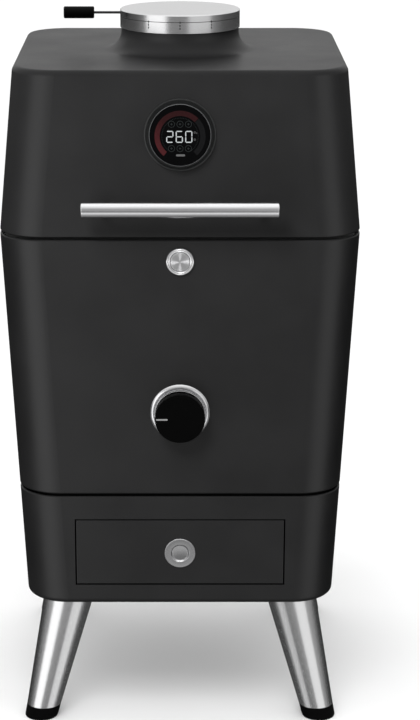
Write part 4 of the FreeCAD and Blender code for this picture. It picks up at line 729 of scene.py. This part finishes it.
def make_world():
    """White for the camera. Gloss sees a studio: bright overhead, dim at the horizon, with a bright band
    low in front. Matt surfaces gather a different light, mostly from the sides."""
    world = bpy.data.worlds.new("studio")
    world.use_nodes = True
    tree = world.node_tree
    tree.nodes.clear()

    def node(kind, inputs=None, **settings):
        made = tree.nodes.new(kind)
        for name, value in settings.items():
            setattr(made, name, value)
        for name, value in (inputs or {}).items():
            if isinstance(value, bpy.types.NodeSocket):
                tree.links.new(value, made.inputs[name])
            else:
                made.inputs[name].default_value = value
        return made

    direction = node("ShaderNodeTexCoord").outputs["Generated"]
    parts = node("ShaderNodeSeparateXYZ", {"Vector": direction})
    rise = node("ShaderNodeMapRange", {"Value": parts.outputs["Z"], "From Min": -1.0, "From Max": 1.0})
    sides = []
    for levels in (FRONT_LEVELS, BACK_LEVELS, DOME_LEVELS):
        ramp = node("ShaderNodeValToRGB", {"Fac": rise.outputs["Result"]})
        elements = ramp.color_ramp.elements
        for _ in levels[2:]:
            elements.new(0.5)
        for index, (position, level) in enumerate(levels):
            elements[index].position = (position + 1) / 2
            elements[index].color = (level / 2, level / 2, level / 2, 1)
        sides.append(ramp.outputs["Color"])
    front = node("ShaderNodeMapRange", {"Value": parts.outputs["Y"], "From Min": 0.1, "From Max": -0.55},
                 interpolation_type="SMOOTHSTEP")
    seen = node("ShaderNodeMix", {"Factor": front.outputs["Result"], "A": sides[1], "B": sides[0]})
    seen = node("ShaderNodeMath", {0: seen.outputs["Result"], 1: 2.0}, operation="MULTIPLY")
    dome = node("ShaderNodeMath", {0: sides[2], 1: 2.0}, operation="MULTIPLY")
    path = node("ShaderNodeLightPath").outputs
    seen = node("ShaderNodeMix", {"Factor": path["Is Diffuse Ray"], "A": seen.outputs[0],
                                  "B": dome.outputs[0]})
    seen = node("ShaderNodeMix", {"Factor": path["Is Camera Ray"], "A": seen.outputs["Result"],
                                  "B": 1 / WORLD_GREY})
    background = node("ShaderNodeBackground", {"Color": (WORLD_GREY, WORLD_GREY, WORLD_GREY, 1),
                                               "Strength": seen.outputs["Result"]})
    output = node("ShaderNodeOutputWorld")
    tree.links.new(background.outputs["Background"], output.inputs["Surface"])
    world.cycles.sampling_method = "NONE"
    bpy.context.scene.world = world


# All the levels below are strengths of this grey.
WORLD_GREY = 0.8
# Brightness that gloss sees in the studio, by the upward part of a direction from -1 to 1.
FRONT_LEVELS = ((-1.0, 0.3), (-0.56, 1.25), (-0.37, 0.3), (-0.24, 0.12), (-0.08, 0.5), (0.1, 0.45),
                (0.38, 0.5), (0.62, 0.9), (0.97, 1.7))
BACK_LEVELS = ((-1.0, 0.3), (-0.35, 0.04), (-0.1, 0.05), (0.05, 0.7), (0.25, 1.3), (0.55, 1.1), (0.97, 1.6))
# Brightness that matt surfaces gather: strongest from the horizon to 30 degrees above it, all round.
DOME_LEVELS = ((-1.0, 1.0), (0.0, 1.7), (0.5, 1.7), (0.7, 1.3), (1.0, 1.25))
OBJECT_MIDDLE = Vector((0, 0, 0.6))
PAINTED = ("base_shell", "body_shell", "lid_shell", "drawer_front", "rear_cover")
BARE_METAL = ("vent_cap", "handle_", "dial_ring", "lever_rod", "pull_cup", "display_")
BACK = ("body_shell", "lid_shell", "base_shell", "rear_cover", "power_inlet", "hinge_", "cabinet_fasteners",
        "lid_fasteners")
LEFT_LEGS = ("leg_front_left", "leg_back_left")
RIGHT_LEGS = ("leg_front_right", "leg_back_right")


def make_lights():
    """Soft boxes. Each lights only the pieces named with it, and some light only gloss or only matt."""
    add_softbox("key_light", -21, 42, 3.2, 1.1, 1.1, 285, PAINTED, visible_glossy=False)
    add_softbox("left_paint_light", -37, -8, 2.8, 2.3, 3.4, 108, PAINTED, visible_diffuse=False)
    add_softbox("right_paint_light", 48, -8, 2.8, 1.8, 3.4, 60, PAINTED, visible_diffuse=False)
    add_softbox("left_metal_light", -46, -5, 2.8, 2.1, 3.4, 27, BARE_METAL + LEFT_LEGS)
    add_softbox("left_leg_fill", -46, -5, 2.8, 1.8, 3.4, 9, RIGHT_LEGS)
    add_softbox("right_metal_light", 38, -5, 2.8, 2.3, 3.4, 13, BARE_METAL)
    add_softbox("right_leg_light", 38, -5, 2.8, 2.3, 3.4, 18, LEFT_LEGS + RIGHT_LEGS)
    add_softbox("button_left_light", -52, -14, 2.8, 1.9, 0.9, 13, ("button_",))
    add_softbox("button_right_light", 52, -14, 2.8, 1.9, 0.9, 10, ("button_",))
    add_softbox("button_top_light", -6, 36, 2.8, 0.9, 1.9, 14, ("button_",))
    add_softbox("button_bottom_light", 0, -66, 2.8, 0.9, 1.9, 10, ("button_",))
    add_softbox("pull_light", 0, 74, 2.8, 3.4, 0.8, 60, ("pull_cup",))
    add_softbox("back_light", 184, 15, 3.2, 2.0, 3.0, 500, BACK, visible_glossy=False)
    floor_light = add_softbox("floor_light", -12, 52, 3.2, 1.6, 1.6, 40, ("studio_floor",))
    blockers = bpy.data.collections.new("floor_light_blockers")
    for thing in bpy.context.scene.objects:
        if thing.name.startswith(("base_shell", "leg_", "foot_")):
            blockers.objects.link(thing)
    floor_light.light_linking.blocker_collection = blockers


CAMERA_PLACE = (0, -3.5582, 1.5217)
CAMERA_PITCH = 74.278
CAMERA_LENS = 114.4
OBJECT_LEFT_OF_MIDDLE = 30 / 720


def make_camera():
    """In front of the smoker and higher than its top, looking down."""
    lens = bpy.data.cameras.new("front_camera")
    lens.lens = CAMERA_LENS
    lens.shift_x = OBJECT_LEFT_OF_MIDDLE
    camera = bpy.data.objects.new("front_camera", lens)
    camera.location = CAMERA_PLACE
    camera.rotation_euler = (math.radians(CAMERA_PITCH), 0, 0)
    bpy.context.scene.collection.objects.link(camera)
    bpy.context.scene.camera = camera


make_camera()
paint_cad_nodes()
make_power_button()
make_air_dial()
make_display_rings()
make_display_graphics()
make_handle_and_lever()
make_drawer_pull()
make_vent_scale()
make_floor()
make_world()
make_lights()
bpy.context.scene.view_settings.view_transform = "Standard"
